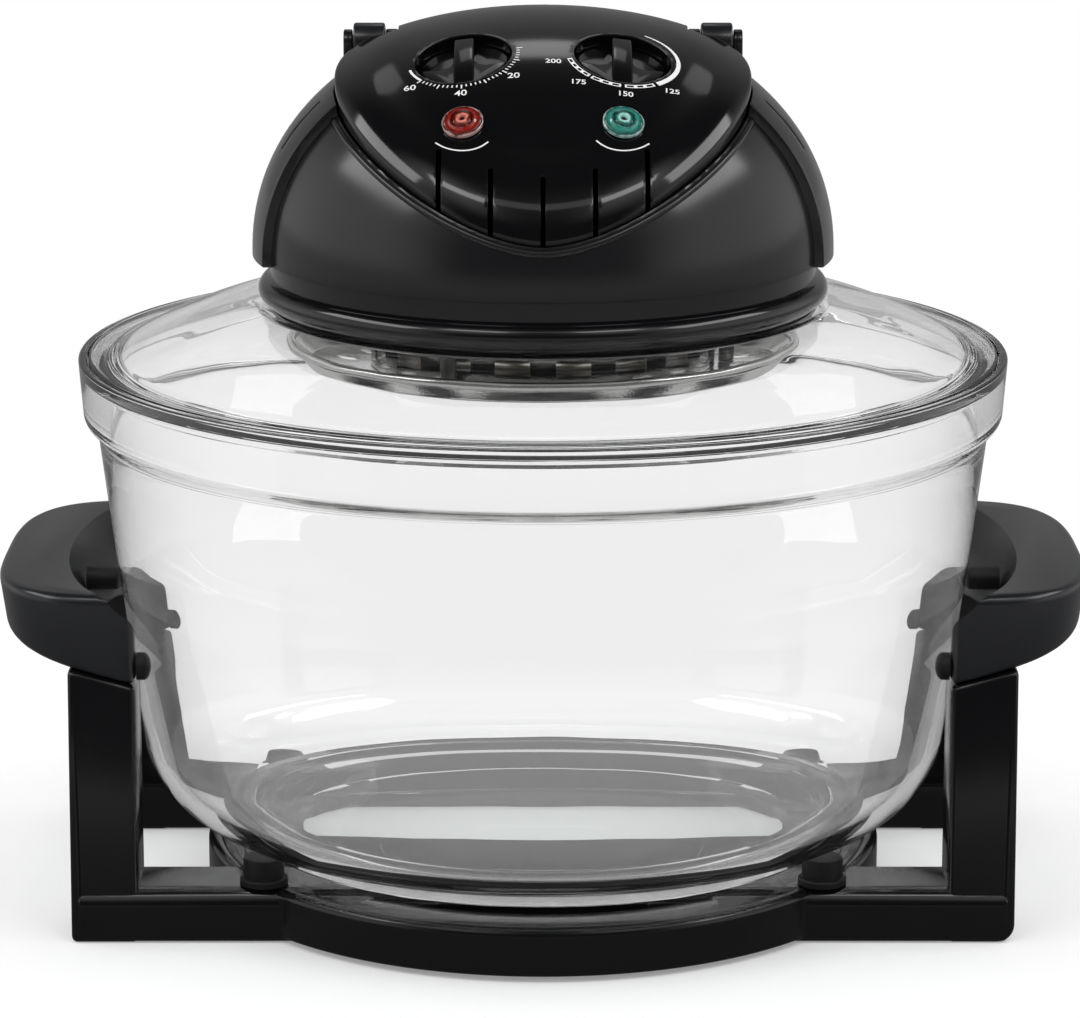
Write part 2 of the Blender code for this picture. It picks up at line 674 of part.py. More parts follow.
def post_mesh(name, low, high, hand, side):
    """A post of the stand: a well rounded bottom corner, and a narrower, sloped top."""
    shape = bmesh.new()
    bmesh.ops.create_cube(shape, size=1.0)
    for vert in shape.verts:
        x = high[0] if vert.co.x > 0 else low[0]
        y = high[1] if vert.co.y > 0 else low[1]
        top = vert.co.z > 0
        if top and y * side > RAIL_OUTER_Y - STAND_EDGE:
            y -= side * POST_TAPER_Y
        vert.co = (x, y, underside_z(abs(x)) - TOUCH_GAP if top else 0)
    outer = high[0] if hand > 0 else low[0]
    corner = [
        edge
        for edge in shape.edges
        if all(vert.co.z < STAND_EDGE and abs(vert.co.x - outer) < STAND_EDGE for vert in edge.verts)
    ]
    bmesh.ops.bevel(shape, geom=corner, offset=STAND_CORNER, segments=4, affect="EDGES", profile=0.5)
    tall = HANDLE_LOW_Z / 2
    upright = [edge for edge in shape.edges if abs(edge.verts[0].co.z - edge.verts[1].co.z) > tall]
    bmesh.ops.bevel(shape, geom=upright, offset=STAND_EDGE, segments=2, affect="EDGES", profile=0.5)
    return finished(shape, name)


def underside_z(x):
    """Height of a side handle's sloping underside."""
    return HANDLE_LOW_Z + HANDLE_UNDERSIDE_SLOPE_SHARE * (x - POST_INNER_X)


def loft_mesh(name, low_row, high_row):
    """A closed shape between two rows of points that lie over each other."""
    shape = bmesh.new()
    low = [shape.verts.new(place) for place in low_row]
    high = [shape.verts.new(place) for place in high_row]
    count = len(low)
    for i in range(count):
        after = (i + 1) % count
        shape.faces.new((low[i], low[after], high[after], high[i]))
    shape.faces.new(low)
    shape.faces.new(high)
    return finished(shape, name)


def make_side_handle(name, hand, plastic):
    """A D-shaped handle that bridges the two posts of one side, scooped out towards the bowl."""
    inner_x = POST_INNER_X
    bulge = HANDLE_OUTER_X - inner_x
    rows = []
    for draft in (HANDLE_SIDE_DRAFT, 0):
        arch = power_arc(bulge - draft, HANDLE_END_Y, HANDLE_POWER_SHARE, -90, 90, 16)
        rows.append([(inner_x + x, y) for x, y in arch])
    low_row = [(hand * x, y, underside_z(x)) for x, y in rows[0]]
    high_row = [(hand * x, y, HANDLE_TOP_Z) for x, y in rows[1]]
    handle = piece(name, loft_mesh(name, low_row, high_row), plastic)
    handle_edges = handle.modifiers.new("edges", "BEVEL")
    handle_edges.width = HANDLE_EDGE
    handle_edges.segments = 2
    handle_edges.limit_method = "ANGLE"
    handle_edges.angle_limit = EDGE_ANGLE
    cut(handle, helper(f"{name}_scoop", scoop_mesh(f"{name}_scoop", hand)))
    return handle


def opening_at(height):
    """Reach of the hollow behind a side handle, on X and on Y, at a height."""
    share = (height - HANDLE_LOW_Z) / (HANDLE_TOP_Z - HANDLE_LOW_Z)
    reach_x = HANDLE_OPENING_BOTTOM_X + (HANDLE_OPENING_TOP_X - HANDLE_OPENING_BOTTOM_X) * share
    reach_y = HANDLE_OPENING_BOTTOM_Y + (HANDLE_OPENING_TOP_Y - HANDLE_OPENING_BOTTOM_Y) * share
    return reach_x, reach_y


def scoop_mesh(name, hand):
    """The hollow behind a side handle: an arch in plan that widens towards the top."""
    inner_x = POST_INNER_X
    start_x = inner_x - OVERRUN
    rows = []
    for height in (HANDLE_LOW_Z - OVERRUN, HANDLE_TOP_Z + OVERRUN):
        reach_x, reach_y = opening_at(height)
        arch = power_arc(reach_x - inner_x, reach_y, HANDLE_OPENING_POWER_SHARE, -90, 90, 14)
        row = [(start_x, -reach_y)] + [(inner_x + x, y) for x, y in arch] + [(start_x, reach_y)]
        rows.append([(hand * x, y, height) for x, y in row])
    return loft_mesh(name, *rows)


def dome_button(name, radius, length, dome, rubber, turn):
    """A rubber button along Z, with a rounded end."""
    profile = [(0, length)]
    profile += [
        (radius * math.sin(math.radians(angle)), length - dome * (1 - math.cos(math.radians(angle))))
        for angle in (25, 50, 75)
    ]
    profile += [(radius, length - dome), (radius, 0), (0, 0)]
    button = piece(name, turned_mesh(name, profile, False, SMALL_SEGMENTS), rubber)
    button.matrix_world = turn
    return button


def make_buffers(rubber):
    """Buttons on the posts and behind the handles, which steady the bowl."""
    post_x = POST_INNER_X - TOUCH_GAP
    spread = POST_BUFFER_RADIUS * POST_BUFFER_SPREAD_SHARE
    bowl_r = wall_radius(POST_BUFFER_Z + spread)
    bowl_x = math.sqrt(bowl_r**2 - (POST_BUFFER_Y - spread) ** 2) + TOUCH_GAP
    dome = (post_x - bowl_x) * POST_BUFFER_DOME_SHARE
    for side, end in ((-1, "front"), (1, "rear")):
        for hand, where in ((-1, "left"), (1, "right")):
            place = Vector((hand * post_x, side * POST_BUFFER_Y, POST_BUFFER_Z))
            turn = around(place, Matrix.Rotation(math.radians(-90 * hand), 4, "Y"))
            dome_button(
                f"post_buffer_{end}_{where}", POST_BUFFER_RADIUS, post_x - bowl_x, dome, rubber, turn
            )
    wall_x = opening_at(HANDLE_BUFFER_Z - HANDLE_BUFFER_RADIUS)[0] - TOUCH_GAP
    reach = wall_x - wall_radius(HANDLE_BUFFER_Z + HANDLE_BUFFER_RADIUS) - TOUCH_GAP
    dome = reach * HANDLE_BUFFER_DOME_SHARE
    for hand, where in ((-1, "left"), (1, "right")):
        place = Vector((hand * wall_x, 0, HANDLE_BUFFER_Z))
        turn = around(place, Matrix.Rotation(math.radians(-90 * hand), 4, "Y"))
        dome_button(f"handle_buffer_{where}", HANDLE_BUFFER_RADIUS, reach, dome, rubber, turn)


def make_pads(rubber):
    """Four rubber pads on the stand, on which the bowl's corner rests."""
    low_z = RAIL_TOP_Z + TOUCH_GAP
    height = BOWL_BASE_Z + FOOT_HEIGHT - TOUCH_GAP - low_z
    body_r = PAD_RADIUS - PAD_FLANGE
    profile = [(0, height), (body_r - RIM_ROUND, height), (body_r, height - RIM_ROUND)]
    profile += [(body_r, PAD_FLANGE_HEIGHT), (PAD_RADIUS, PAD_FLANGE_HEIGHT), (PAD_RADIUS, 0), (0, 0)]
    for side, end in ((-1, "front"), (1, "rear")):
        for hand, where in ((-1, "left"), (1, "right")):
            name = f"rest_pad_{end}_{where}"
            pad = piece(name, turned_mesh(name, profile, False, SMALL_SEGMENTS), rubber)
            x = hand * PAD_CIRCLE_RADIUS * math.cos(PAD_ANGLE)
            y = side * PAD_CIRCLE_RADIUS * math.sin(PAD_ANGLE)
            pad.location = (x, y, low_z)


# The head: its housing


def make_collar(plastic):
    """The lower housing: a beaded ring on the lid, with a neck inside the dome's skirt."""
    low_z = LID_TOP_Z + TOUCH_GAP
    seat_z = low_z + GASKET_THICKNESS + TOUCH_GAP
    lip_r = COLLAR_RADIUS - COLLAR_LIP_WIDTH
    bead = COLLAR_BEAD_HEIGHT / 2
    floor_z = BASE_PLATE_Z - TOUCH_GAP
    profile = [(COLLAR_NECK_RADIUS - DOME_WALL, COLLAR_TOP_Z), (COLLAR_NECK_RADIUS, COLLAR_TOP_Z)]
    profile += [(COLLAR_NECK_RADIUS, low_z + COLLAR_BEAD_HEIGHT)]
    profile += arc(COLLAR_RADIUS - bead, low_z + bead, bead, 75, -60, 4)
    profile += [(lip_r, low_z), (lip_r - RIM_ROUND, seat_z), (COLLAR_INNER_RADIUS, seat_z)]
    profile += [(COLLAR_INNER_RADIUS, floor_z - COLLAR_FLOOR_THICKNESS)]
    profile += [(BASE_PLATE_RADIUS - OVERRUN, floor_z - COLLAR_FLOOR_THICKNESS)]
    profile += [(BASE_PLATE_RADIUS - OVERRUN, floor_z), (COLLAR_NECK_RADIUS - DOME_WALL, floor_z)]
    return piece("lower_housing", turned_mesh("lower_housing", profile, True), plastic)


def ring_piece(name, inner, outer, low, high, finish, segments=SEGMENTS):
    profile = [(inner, high), (outer, high), (outer, low), (inner, low)]
    return piece(name, turned_mesh(name, profile, True, segments), finish)


def make_gasket(rubber):
    low_z = LID_TOP_Z + TOUCH_GAP
    inner = LID_HOLE_RADIUS + RIM_ROUND
    outer = inner + GASKET_WIDTH
    return ring_piece(
        "lid_gasket", inner, outer, low_z, low_z + GASKET_THICKNESS, rubber, HIDDEN_SEGMENTS
    )


def make_base_plate(steel):
    outer = BASE_PLATE_RADIUS
    top_z = BASE_PLATE_Z + BASE_PLATE_THICKNESS
    return ring_piece(
        "base_plate", SHAFT_HOLE_RADIUS, outer, BASE_PLATE_Z, top_z, steel, HIDDEN_SEGMENTS
    )


def cover_mesh(name, shrink, wall):
    """A dome shell with a skirt, and a rib inside that sits on the lower housing."""
    radius = DOME_RADIUS - shrink
    rise = DOME_RISE - shrink
    rib_z = COLLAR_TOP_Z + TOUCH_GAP
    outer = [(r, DOME_EQUATOR_Z + z) for r, z in power_arc(radius, rise, DOME_POWER_SHARE, 90, 0, 11)]
    outer[0] = (0, outer[0][1])
    inner_arc = power_arc(radius - wall, rise - wall, DOME_POWER_SHARE, 0, 90, 8)
    rib_top = rib_z + SEAT_RIB_HEIGHT
    inner = [(r, DOME_EQUATOR_Z + z) for r, z in inner_arc if DOME_EQUATOR_Z + z > rib_top]
    inner[-1] = (0, inner[-1][1])
    rib_r = SEAT_RIB_RADIUS
    skirt_r = radius - wall
    profile = outer + [(radius, DOME_SKIRT_Z), (skirt_r, DOME_SKIRT_Z), (skirt_r, rib_z), (rib_r, rib_z)]
    profile += [(rib_r, rib_top)] + inner
    return turned_mesh(name, profile, False)


def half_block(name, low_y, high_y):
    reach = DOME_RADIUS + OVERRUN
    low = (-reach, low_y, DOME_SKIRT_Z - OVERRUN)
    return helper(name, block_mesh(name, low, (reach, high_y, PANEL_CREST_Z)))


def make_covers(plastic, panel_hole):
    reach = DOME_RADIUS + OVERRUN
    front = piece("front_cover", cover_mesh("front_cover", FRONT_STEP, DOME_WALL), plastic)
    keep(front, half_block("front_half", -reach, SEAM_Y - TOUCH_GAP))
    cut(front, panel_hole)
    rear = piece("rear_cover", cover_mesh("rear_cover", 0, REAR_WALL), plastic)
    keep(rear, half_block("rear_half", SEAM_Y, reach))
    cut(rear, panel_hole)
    for hand, where in ((-1, "left"), (1, "right")):
        cut(rear, eye_space(f"cover_notch_{where}", hand))
        join(rear, *pivot_supports(where, hand))
        cut(rear, cam_space(f"cover_relief_{where}", hand))
        hole_low = PIN_INNER_X - OVERRUN
        hole_high = cheek_low() + CHEEK_WIDTH * CHEEK_BORE_SHARE
        hole = rod_mesh(f"pin_hole_{where}", PIN_RADIUS + TURNING_GAP, hole_low, hole_high)
        hole.transform(pivot_frame(hand))
        cut(rear, helper(f"pin_hole_{where}", hole))
        low_x, high_x = sorted((hand * DOME_RADIUS / 2, hand * reach))
        slot = block_mesh(
            f"side_slot_{where}",
            (low_x, SIDE_SLOT_Y - SIDE_SLOT_WIDTH / 2, SIDE_SLOT_LOW_Z),
            (high_x, SIDE_SLOT_Y + SIDE_SLOT_WIDTH / 2, SIDE_SLOT_HIGH_Z),
        )
        cut(rear, helper(f"side_slot_{where}", slot))
    for i in range(VENT_COUNT):
        x = (i - (VENT_COUNT - 1) / 2) * VENT_PITCH
        low = (x - VENT_WIDTH / 2, DOME_RADIUS / 2, VENT_Z - VENT_HEIGHT / 2)
        high = (x + VENT_WIDTH / 2, reach, VENT_Z + VENT_HEIGHT / 2)
        cut(rear, helper(f"rear_vent_{i}", block_mesh(f"rear_vent_{i}", low, high)))
    bore = rod_mesh("gland_bore", GLAND_RADIUS + TOUCH_GAP, DOME_RADIUS / 2, reach)
    bore.transform(around((0, 0, GLAND_Z), Matrix.Rotation(math.radians(-90), 4, "X")))
    cut(rear, helper("gland_bore", bore))
    return front, rear


def pivot_frame(hand):
    """Lays a shape made along Z along the carry handle's axis, towards one side."""
    return around((0, PIVOT_Y, PIVOT_Z), Matrix.Rotation(math.radians(90 * hand), 4, "Y"))


def eye_low():
    """The inner face of a carry handle's eye, as a distance from the middle."""
    return BAIL_EYE_X - BAIL_WIDTH / 2


def cheek_low():
    return eye_low() + BAIL_WIDTH + TURNING_GAP


def eye_space(name, hand):
    """The space that an eye of the carry handle turns in."""
    low = eye_low() - TURNING_GAP
    mesh = rod_mesh(name, EYE_RADIUS + EYE_CLEARANCE, low, cheek_low(), DIAL_SEGMENTS)
    mesh.transform(pivot_frame(hand))
    return helper(name, mesh)


def cam_space(name, hand):
    """The space that the inner end of a pin turns in."""
    reach = CAM_RADIUS + CAM_OFFSET + TURNING_GAP
    low = PIN_INNER_X - TURNING_GAP
    mesh = rod_mesh(name, reach, low, PIN_INNER_X + CAM_WIDTH + TURNING_GAP)
    mesh.transform(pivot_frame(hand))
    return helper(name, mesh)


def pivot_supports(where, hand):
    """The lug and the cheek of the rear cover that hold a pin on either side of an eye."""
    made = []
    lug_x = (NOTCH_X + TURNING_GAP, eye_low() - TURNING_GAP)
    cheek_x = (cheek_low(), cheek_low() + CHEEK_WIDTH)
    for kind, ends, radius, low_z in (
        ("lug", lug_x, LUG_RADIUS, LUG_LOW_Z),
        ("cheek", cheek_x, CHEEK_RADIUS, CHEEK_LOW_Z),
    ):
        name = f"{kind}_{where}"
        outline = [(PIVOT_Y + y, PIVOT_Z + z) for y, z in power_arc(radius, radius, 2, 0, 180, 12)]
        outline += [(PIVOT_Y - radius, low_z), (PIVOT_Y + radius, low_z)]
        low_x, high_x = sorted(hand * x for x in ends)
        made.append(helper(name, slab_mesh(name, outline, low_x, high_x)))
    return made


# The head: control panel


def panel_height(y):
    """Height of the panel's ridge line at y."""
    share = min(abs(y - PANEL_CREST_Y) / PANEL_REACH, 1.0)
    return PANEL_CREST_Z - PANEL_DROP * (1 - (1 - share**PANEL_POWER_SHARE) ** (1 / PANEL_POWER_SHARE))


def panel_surface(x, y, lower=0.0):
    """Height of the panel's face over a point, or of a face that lies lower by a distance."""
    axis_z = PANEL_CREST_Z - PANEL_SIDE_ARC
    arc_radius = panel_height(y) - lower - axis_z
    return axis_z + math.sqrt(arc_radius * arc_radius - x * x)


def panel_normal(x, y):
    step = RIM_ROUND
    slope_x = (panel_surface(x + step, y) - panel_surface(x - step, y)) / (2 * step)
    slope_y = (panel_surface(x, y + step) - panel_surface(x, y - step)) / (2 * step)
    return Vector((-slope_x, -slope_y, 1)).normalized()


def under_face_mesh(name, lower, depth, shrink=0.0):
    """A block whose top is the panel's face, lowered and drawn in by a wall."""
    shape = bmesh.new()
    across = 13
    along = 16
    half = PANEL_HALF_WIDTH + OVERRUN
    rows = []
    for j in range(along + 1):
        angle = (PANEL_FRONT_ANGLE + PANEL_REAR_ANGLE) * j / along - PANEL_REAR_ANGLE
        reach = (PANEL_REACH - shrink) * abs(math.sin(angle)) ** (2 / PANEL_POWER_SHARE)
        y = PANEL_CREST_Y - math.copysign(reach, angle)
        height_y = PANEL_CREST_Y - math.copysign(
            PANEL_REACH * abs(math.sin(angle)) ** (2 / PANEL_POWER_SHARE), angle
        )
        row = []
        for i in range(across + 1):
            x = half * (2 * i / across - 1)
            axis_z = PANEL_CREST_Z - PANEL_SIDE_ARC
            arc_radius = panel_height(height_y) - axis_z
            z = axis_z + math.sqrt(arc_radius**2 - x**2) - lower
            row.append(shape.verts.new((x, y, z)))
        rows.append(row)
    for j in range(along):
        for i in range(across):
            shape.faces.new((rows[j][i], rows[j][i + 1], rows[j + 1][i + 1], rows[j + 1][i]))
    floor = PANEL_CREST_Z - depth
    edge = [edge for edge in shape.edges if edge.is_boundary]
    made = bmesh.ops.extrude_edge_only(shape, edges=edge)["geom"]
    low = [item for item in made if isinstance(item, bmesh.types.BMVert)]
    for vert in low:
        vert.co.z = floor
    bmesh.ops.edgeloop_fill(
        shape, edges=[item for item in made if isinstance(item, bmesh.types.BMEdge) and item.is_boundary]
    )
    bmesh.ops.triangulate(shape, faces=shape.faces[:])
    return finished(shape, name)


def panel_frame():
    """Frame of the panel's outline, which looks along the panel from above its middle."""
    return around((0, 0, DOME_EQUATOR_Z), Matrix.Rotation(PANEL_TILT, 4, "X"))


def outline_mesh(name, inset, low, high):
    """The panel's outline, a rounded shield, as a prism square to the panel."""
    lower = power_arc(
        PANEL_HALF_WIDTH - inset, PANEL_LOW_REACH - inset, PANEL_LOW_POWER_SHARE, 0, -180, 22
    )
    upper = power_arc(
        PANEL_HALF_WIDTH - inset, PANEL_HIGH_REACH - inset, PANEL_HIGH_POWER_SHARE, 180, 0, 14
    )
    outline = [(x, y - PANEL_WIDEST_V) for x, y in lower[:-1] + upper[:-1]]
    mesh = plate_mesh(name, outline, low, high)
    mesh.transform(panel_frame())
    return mesh


def dial_frame(hand, x=DIAL_X, y=DIAL_Y):
    """Frame on the panel's face: Z outwards, Y up the slope."""
    x = hand * x
    normal = panel_normal(x, y)
    across = Vector((1, 0, 0))
    across = (across - across.dot(normal) * normal).normalized()
    up = normal.cross(across)
    frame = Matrix((across, up, normal)).transposed().to_4x4()
    frame.translation = (x, y, panel_surface(x, y))
    return frame


def placed_rod(name, frame, radius, low, high, segments=SMALL_SEGMENTS, top_radius=None):
    return helper(name, rod_mesh(name, radius, low, high, segments, top_radius, frame))


def make_panel(plastic):
    depth = PANEL_DROP + OVERRUN
    panel = piece("control_panel", under_face_mesh("control_panel", 0, depth), plastic)
    keep(panel, helper("panel_outline", outline_mesh("panel_outline", 0, PANEL_CUT_LOW, PANEL_CUT_HIGH)))
    skirt = under_face_mesh("panel_skirt", PANEL_SKIRT, depth + OVERRUN, PANEL_SKIRT)
    cut(panel, helper("panel_skirt", skirt))
    hollow = under_face_mesh("panel_hollow", PANEL_WALL, depth + OVERRUN, PANEL_WALL)
    hollow = helper("panel_hollow", hollow)
    inner = outline_mesh("panel_inner", PANEL_WALL, PANEL_CUT_LOW - OVERRUN, PANEL_CUT_HIGH)
    keep(hollow, helper("panel_inner", inner))
    cut(panel, hollow)
    for hand, where in ((-1, "left"), (1, "right")):
        frame = dial_frame(hand)
        cup_low = -DISH_DEPTH - DISH_WALL
        cup_high = -PANEL_WALL * DISH_JOIN_SHARE
        cup_r = DISH_RADIUS + DISH_WALL
        cup = placed_rod(f"cup_{where}", frame, cup_r, cup_low, cup_high, DIAL_SEGMENTS)
        join(panel, cup)
        cut(panel, placed_rod(f"dish_{where}", frame, DISH_RADIUS, -DISH_DEPTH, OVERRUN, DIAL_SEGMENTS))
        bore = SPINDLE_RADIUS + TURNING_GAP
        cut(panel, placed_rod(f"spindle_hole_{where}", frame, bore, cup_low - OVERRUN, 0))
        lamp = dial_frame(hand, LAMP_X, LAMP_Y)
        hole = LENS_STEM_RADIUS + TOUCH_GAP
        cut(panel, placed_rod(f"lamp_hole_{where}", lamp, hole, -OVERRUN - PANEL_WALL, OVERRUN))
        cut(panel, notch_block(f"panel_notch_{where}", hand, 0), eye_space(f"panel_eye_{where}", hand))
        low_x, high_x = sorted((hand * NOTCH_RELIEF_X, hand * PANEL_HALF_WIDTH))
        relief = block_mesh(
            f"panel_relief_{where}",
            (low_x, NOTCH_RELIEF_Y, DOME_EQUATOR_Z),
            (high_x, DOME_RADIUS, NOTCH_RELIEF_Z),
        )
        cut(panel, helper(f"panel_relief_{where}", relief))
    for i in range(-2, 3):
        x = i * SLOT_SPACING
        low = (x - SLOT_WIDTH / 2, -PANEL_REACH, PANEL_CREST_Z - SLOT_BOTTOM_DROP)
        high = (x + SLOT_WIDTH / 2, -PANEL_REACH / 2, PANEL_CREST_Z - SLOT_TOP_DROPS[abs(i)])
        cut(panel, helper(f"front_vent_{i + 2}", block_mesh(f"front_vent_{i + 2}", low, high)))
    return panel


def notch_block(name, hand, inset):
    """The corner of the panel that is left out for the carry handle's pivot."""
    low_x, high_x = sorted((hand * (NOTCH_X + inset), hand * (DOME_RADIUS + OVERRUN)))
    low = (low_x, NOTCH_Y + inset, DOME_EQUATOR_Z - OVERRUN)
    return helper(name, block_mesh(name, low, (high_x, DOME_RADIUS, PANEL_CREST_Z + OVERRUN)))


def panel_hole():
    """The opening for the panel in the covers, which leaves them whole under its two notches."""
    mesh = outline_mesh("panel_hole", -TOUCH_GAP, PANEL_CUT_LOW - OVERRUN / 2, PANEL_CUT_HIGH)
    hole = helper("panel_hole", mesh)
    for hand, where in ((-1, "left"), (1, "right")):
        cut(hole, notch_block(f"hole_notch_{where}", hand, TOUCH_GAP))
    return hole


def make_lens(name, hand, lens):
    frame = dial_frame(hand, LAMP_X, LAMP_Y)
    seat = TOUCH_GAP
    top = seat + LENS_HEIGHT
    rim = seat + LENS_FLANGE_HEIGHT
    dome_r = LENS_RADIUS - RIM_ROUND
    shoulder = (dome_r * LENS_DOME_RADIUS_SHARE, top - (top - rim) * LENS_DOME_FALL_SHARE)
    profile = [(0, top), shoulder, (dome_r, rim), (LENS_RADIUS, rim)]
    profile += [(LENS_RADIUS, seat), (LENS_STEM_RADIUS, seat)]
    profile += [(LENS_STEM_RADIUS, seat - LENS_STEM_LENGTH), (0, seat - LENS_STEM_LENGTH)]
    made = piece(name, turned_mesh(name, profile, False, SMALL_SEGMENTS), lens)
    made.matrix_world = frame
    return made


def make_dial(kind, hand, plastic, metal, casing):
    """A knob in its dish, the spindle it turns, and the timer or thermostat under the panel."""
    frame = dial_frame(hand)
    base_z = TOUCH_GAP - DISH_DEPTH
    rod = rod_mesh(f"{kind}_knob", KNOB_RADIUS, base_z, base_z + KNOB_BASE_HEIGHT, DIAL_SEGMENTS)
    knob = piece(f"{kind}_knob", rod, plastic)
    knob.matrix_world = frame
    half = GRIP_WIDTH / 2
    reach = KNOB_RADIUS - RIM_ROUND
    flare = GRIP_FLARE_WIDTH / 2
    flare_y = -math.sqrt(reach**2 - flare**2)
    outline = [(-half, -GRIP_FLARE_START), (-flare, flare_y)]
    outline += [(-flare / 2, -math.sqrt(reach**2 - flare**2 / 4))]
    outline += [(0, -reach)] + [(-x, y) for x, y in reversed(outline)]
    outline += [(half, reach - RIM_ROUND), (-half, reach - RIM_ROUND)]
    grip = plate_mesh(f"{kind}_grip", outline, base_z + RIM_ROUND, base_z + GRIP_HEIGHT)
    grip = helper(f"{kind}_grip", grip)
    rounding = grip.modifiers.new("edges", "BEVEL")
    rounding.width = RIM_ROUND
    rounding.segments = 2
    grip.matrix_world = frame
    join(knob, grip)
    socket_r = SPINDLE_RADIUS + TOUCH_GAP
    socket = placed_rod(f"{kind}_socket", frame, socket_r, base_z - OVERRUN, base_z + SPINDLE_SOCKET)
    cut(knob, socket)
    spindle_top = base_z + SPINDLE_SOCKET - TOUCH_GAP
    spindle = rod_mesh(f"{kind}_spindle", SPINDLE_RADIUS, spindle_top - SPINDLE_LENGTH, spindle_top)
    piece(f"{kind}_spindle", spindle, metal).matrix_world = frame
    top = -DISH_DEPTH - DISH_WALL - TOUCH_GAP
    bore = placed_rod(
        f"{kind}_bore", frame, SPINDLE_RADIUS + TURNING_GAP, top - SPINDLE_BORE_DEPTH, top + OVERRUN
    )
    if kind == "timer":
        low = (-TIMER_WIDTH / 2, -TIMER_DEPTH / 2, top - TIMER_HEIGHT)
        high = (TIMER_WIDTH / 2, TIMER_DEPTH / 2, top)
        body = block_mesh("timer_unit", low, high, SWITCHGEAR_EDGE, 1)
        unit = piece("timer_unit", body, casing)
    else:
        body = rod_mesh("thermostat_unit", THERMOSTAT_RADIUS, top - THERMOSTAT_HEIGHT, top)
        unit = piece("thermostat_unit", body, casing)
    unit.matrix_world = frame
    cut(unit, bore)


# The head: carry handle, pins and safety switch


def bail_mesh(name):
    """The strap of the carry handle, from one eye round the back of the dome to the other."""
    half = []
    for (x_share, y_share), drop in zip(BAIL_PATH_SHARES, BAIL_DROPS):
        half.append(Vector((x_share * DOME_RADIUS, y_share * DOME_RADIUS, PIVOT_Z - drop)))
    path = half[:-1] + [Vector((-place.x, place.y, place.z)) for place in reversed(half)]
    lean = Vector((0, -math.sin(BAIL_LEAN), math.cos(BAIL_LEAN)))
    wide = BAIL_WIDTH / 2
    thick = BAIL_THICKNESS / 2
    corner = BAIL_CORNER
    section = ((-wide, thick - corner), (corner - wide, thick), (wide - corner, thick))
    section += ((wide, thick - corner), (wide, corner - thick), (wide - corner, -thick))
    section += ((corner - wide, -thick), (-wide, corner - thick))
    shape = bmesh.new()
    rings = []
    for i, place in enumerate(path):
        before = path[max(i - 1, 0)]
        after = path[min(i + 1, len(path) - 1)]
        along = (after - before).normalized()
        out = (lean - lean.dot(along) * along).normalized()
        across = along.cross(out)
        rings.append([shape.verts.new(place + across * u + out * v) for u, v in section])
    count = len(section)
    for first, second in zip(rings, rings[1:]):
        for i in range(count):
            after = (i + 1) % count
            shape.faces.new((first[i], first[after], second[after], second[i]))
    shape.faces.new(rings[0])
    shape.faces.new(rings[-1])
    bmesh.ops.triangulate(shape, faces=shape.faces[:])
    bmesh.ops.translate(shape, vec=(0, -PIVOT_Y, -PIVOT_Z), verts=shape.verts)
    return finished(shape, name)


def make_carry_handle(plastic, steel):
    """A bail that folds back round the dome; its two ends are eyes on the pivot pins."""
    handle = piece("carry_handle", bail_mesh("carry_handle"), plastic)
    handle.location = (0, PIVOT_Y, PIVOT_Z)
    for hand, where in ((-1, "left"), (1, "right")):
        turn = pivot_frame(hand)
        low = eye_low()
        high = low + BAIL_WIDTH
        eye = rod_mesh(f"eye_{where}", EYE_RADIUS, low, high, DIAL_SEGMENTS)
        hole = rod_mesh(f"eye_hole_{where}", PIN_RADIUS + TOUCH_GAP, low - OVERRUN, high + OVERRUN)
        for mesh, act in ((eye, join), (hole, cut)):
            mesh.transform(turn)
            act(handle, helper(mesh.name, mesh))
        make_pin(f"pivot_pin_{where}", turn, hand, steel)
    return handle


def make_pin(name, turn, hand, steel):
    """A pin that turns with the carry handle. The right one ends in the cam of the safety switch."""
    end_x = cheek_low() + CHEEK_WIDTH / 2
    pin = piece(name, rod_mesh(name, PIN_RADIUS, PIN_INNER_X + TOUCH_GAP, end_x), steel)
    cam = rod_mesh(f"{name}_end", CAM_RADIUS, PIN_INNER_X, PIN_INNER_X + CAM_WIDTH)
    if hand > 0:
        cam.transform(Matrix.Translation((CAM_OFFSET, 0, 0)))
    cam = helper(f"{name}_end", cam)
    pin.matrix_world = turn
    cam.matrix_world = turn
    join(pin, cam)


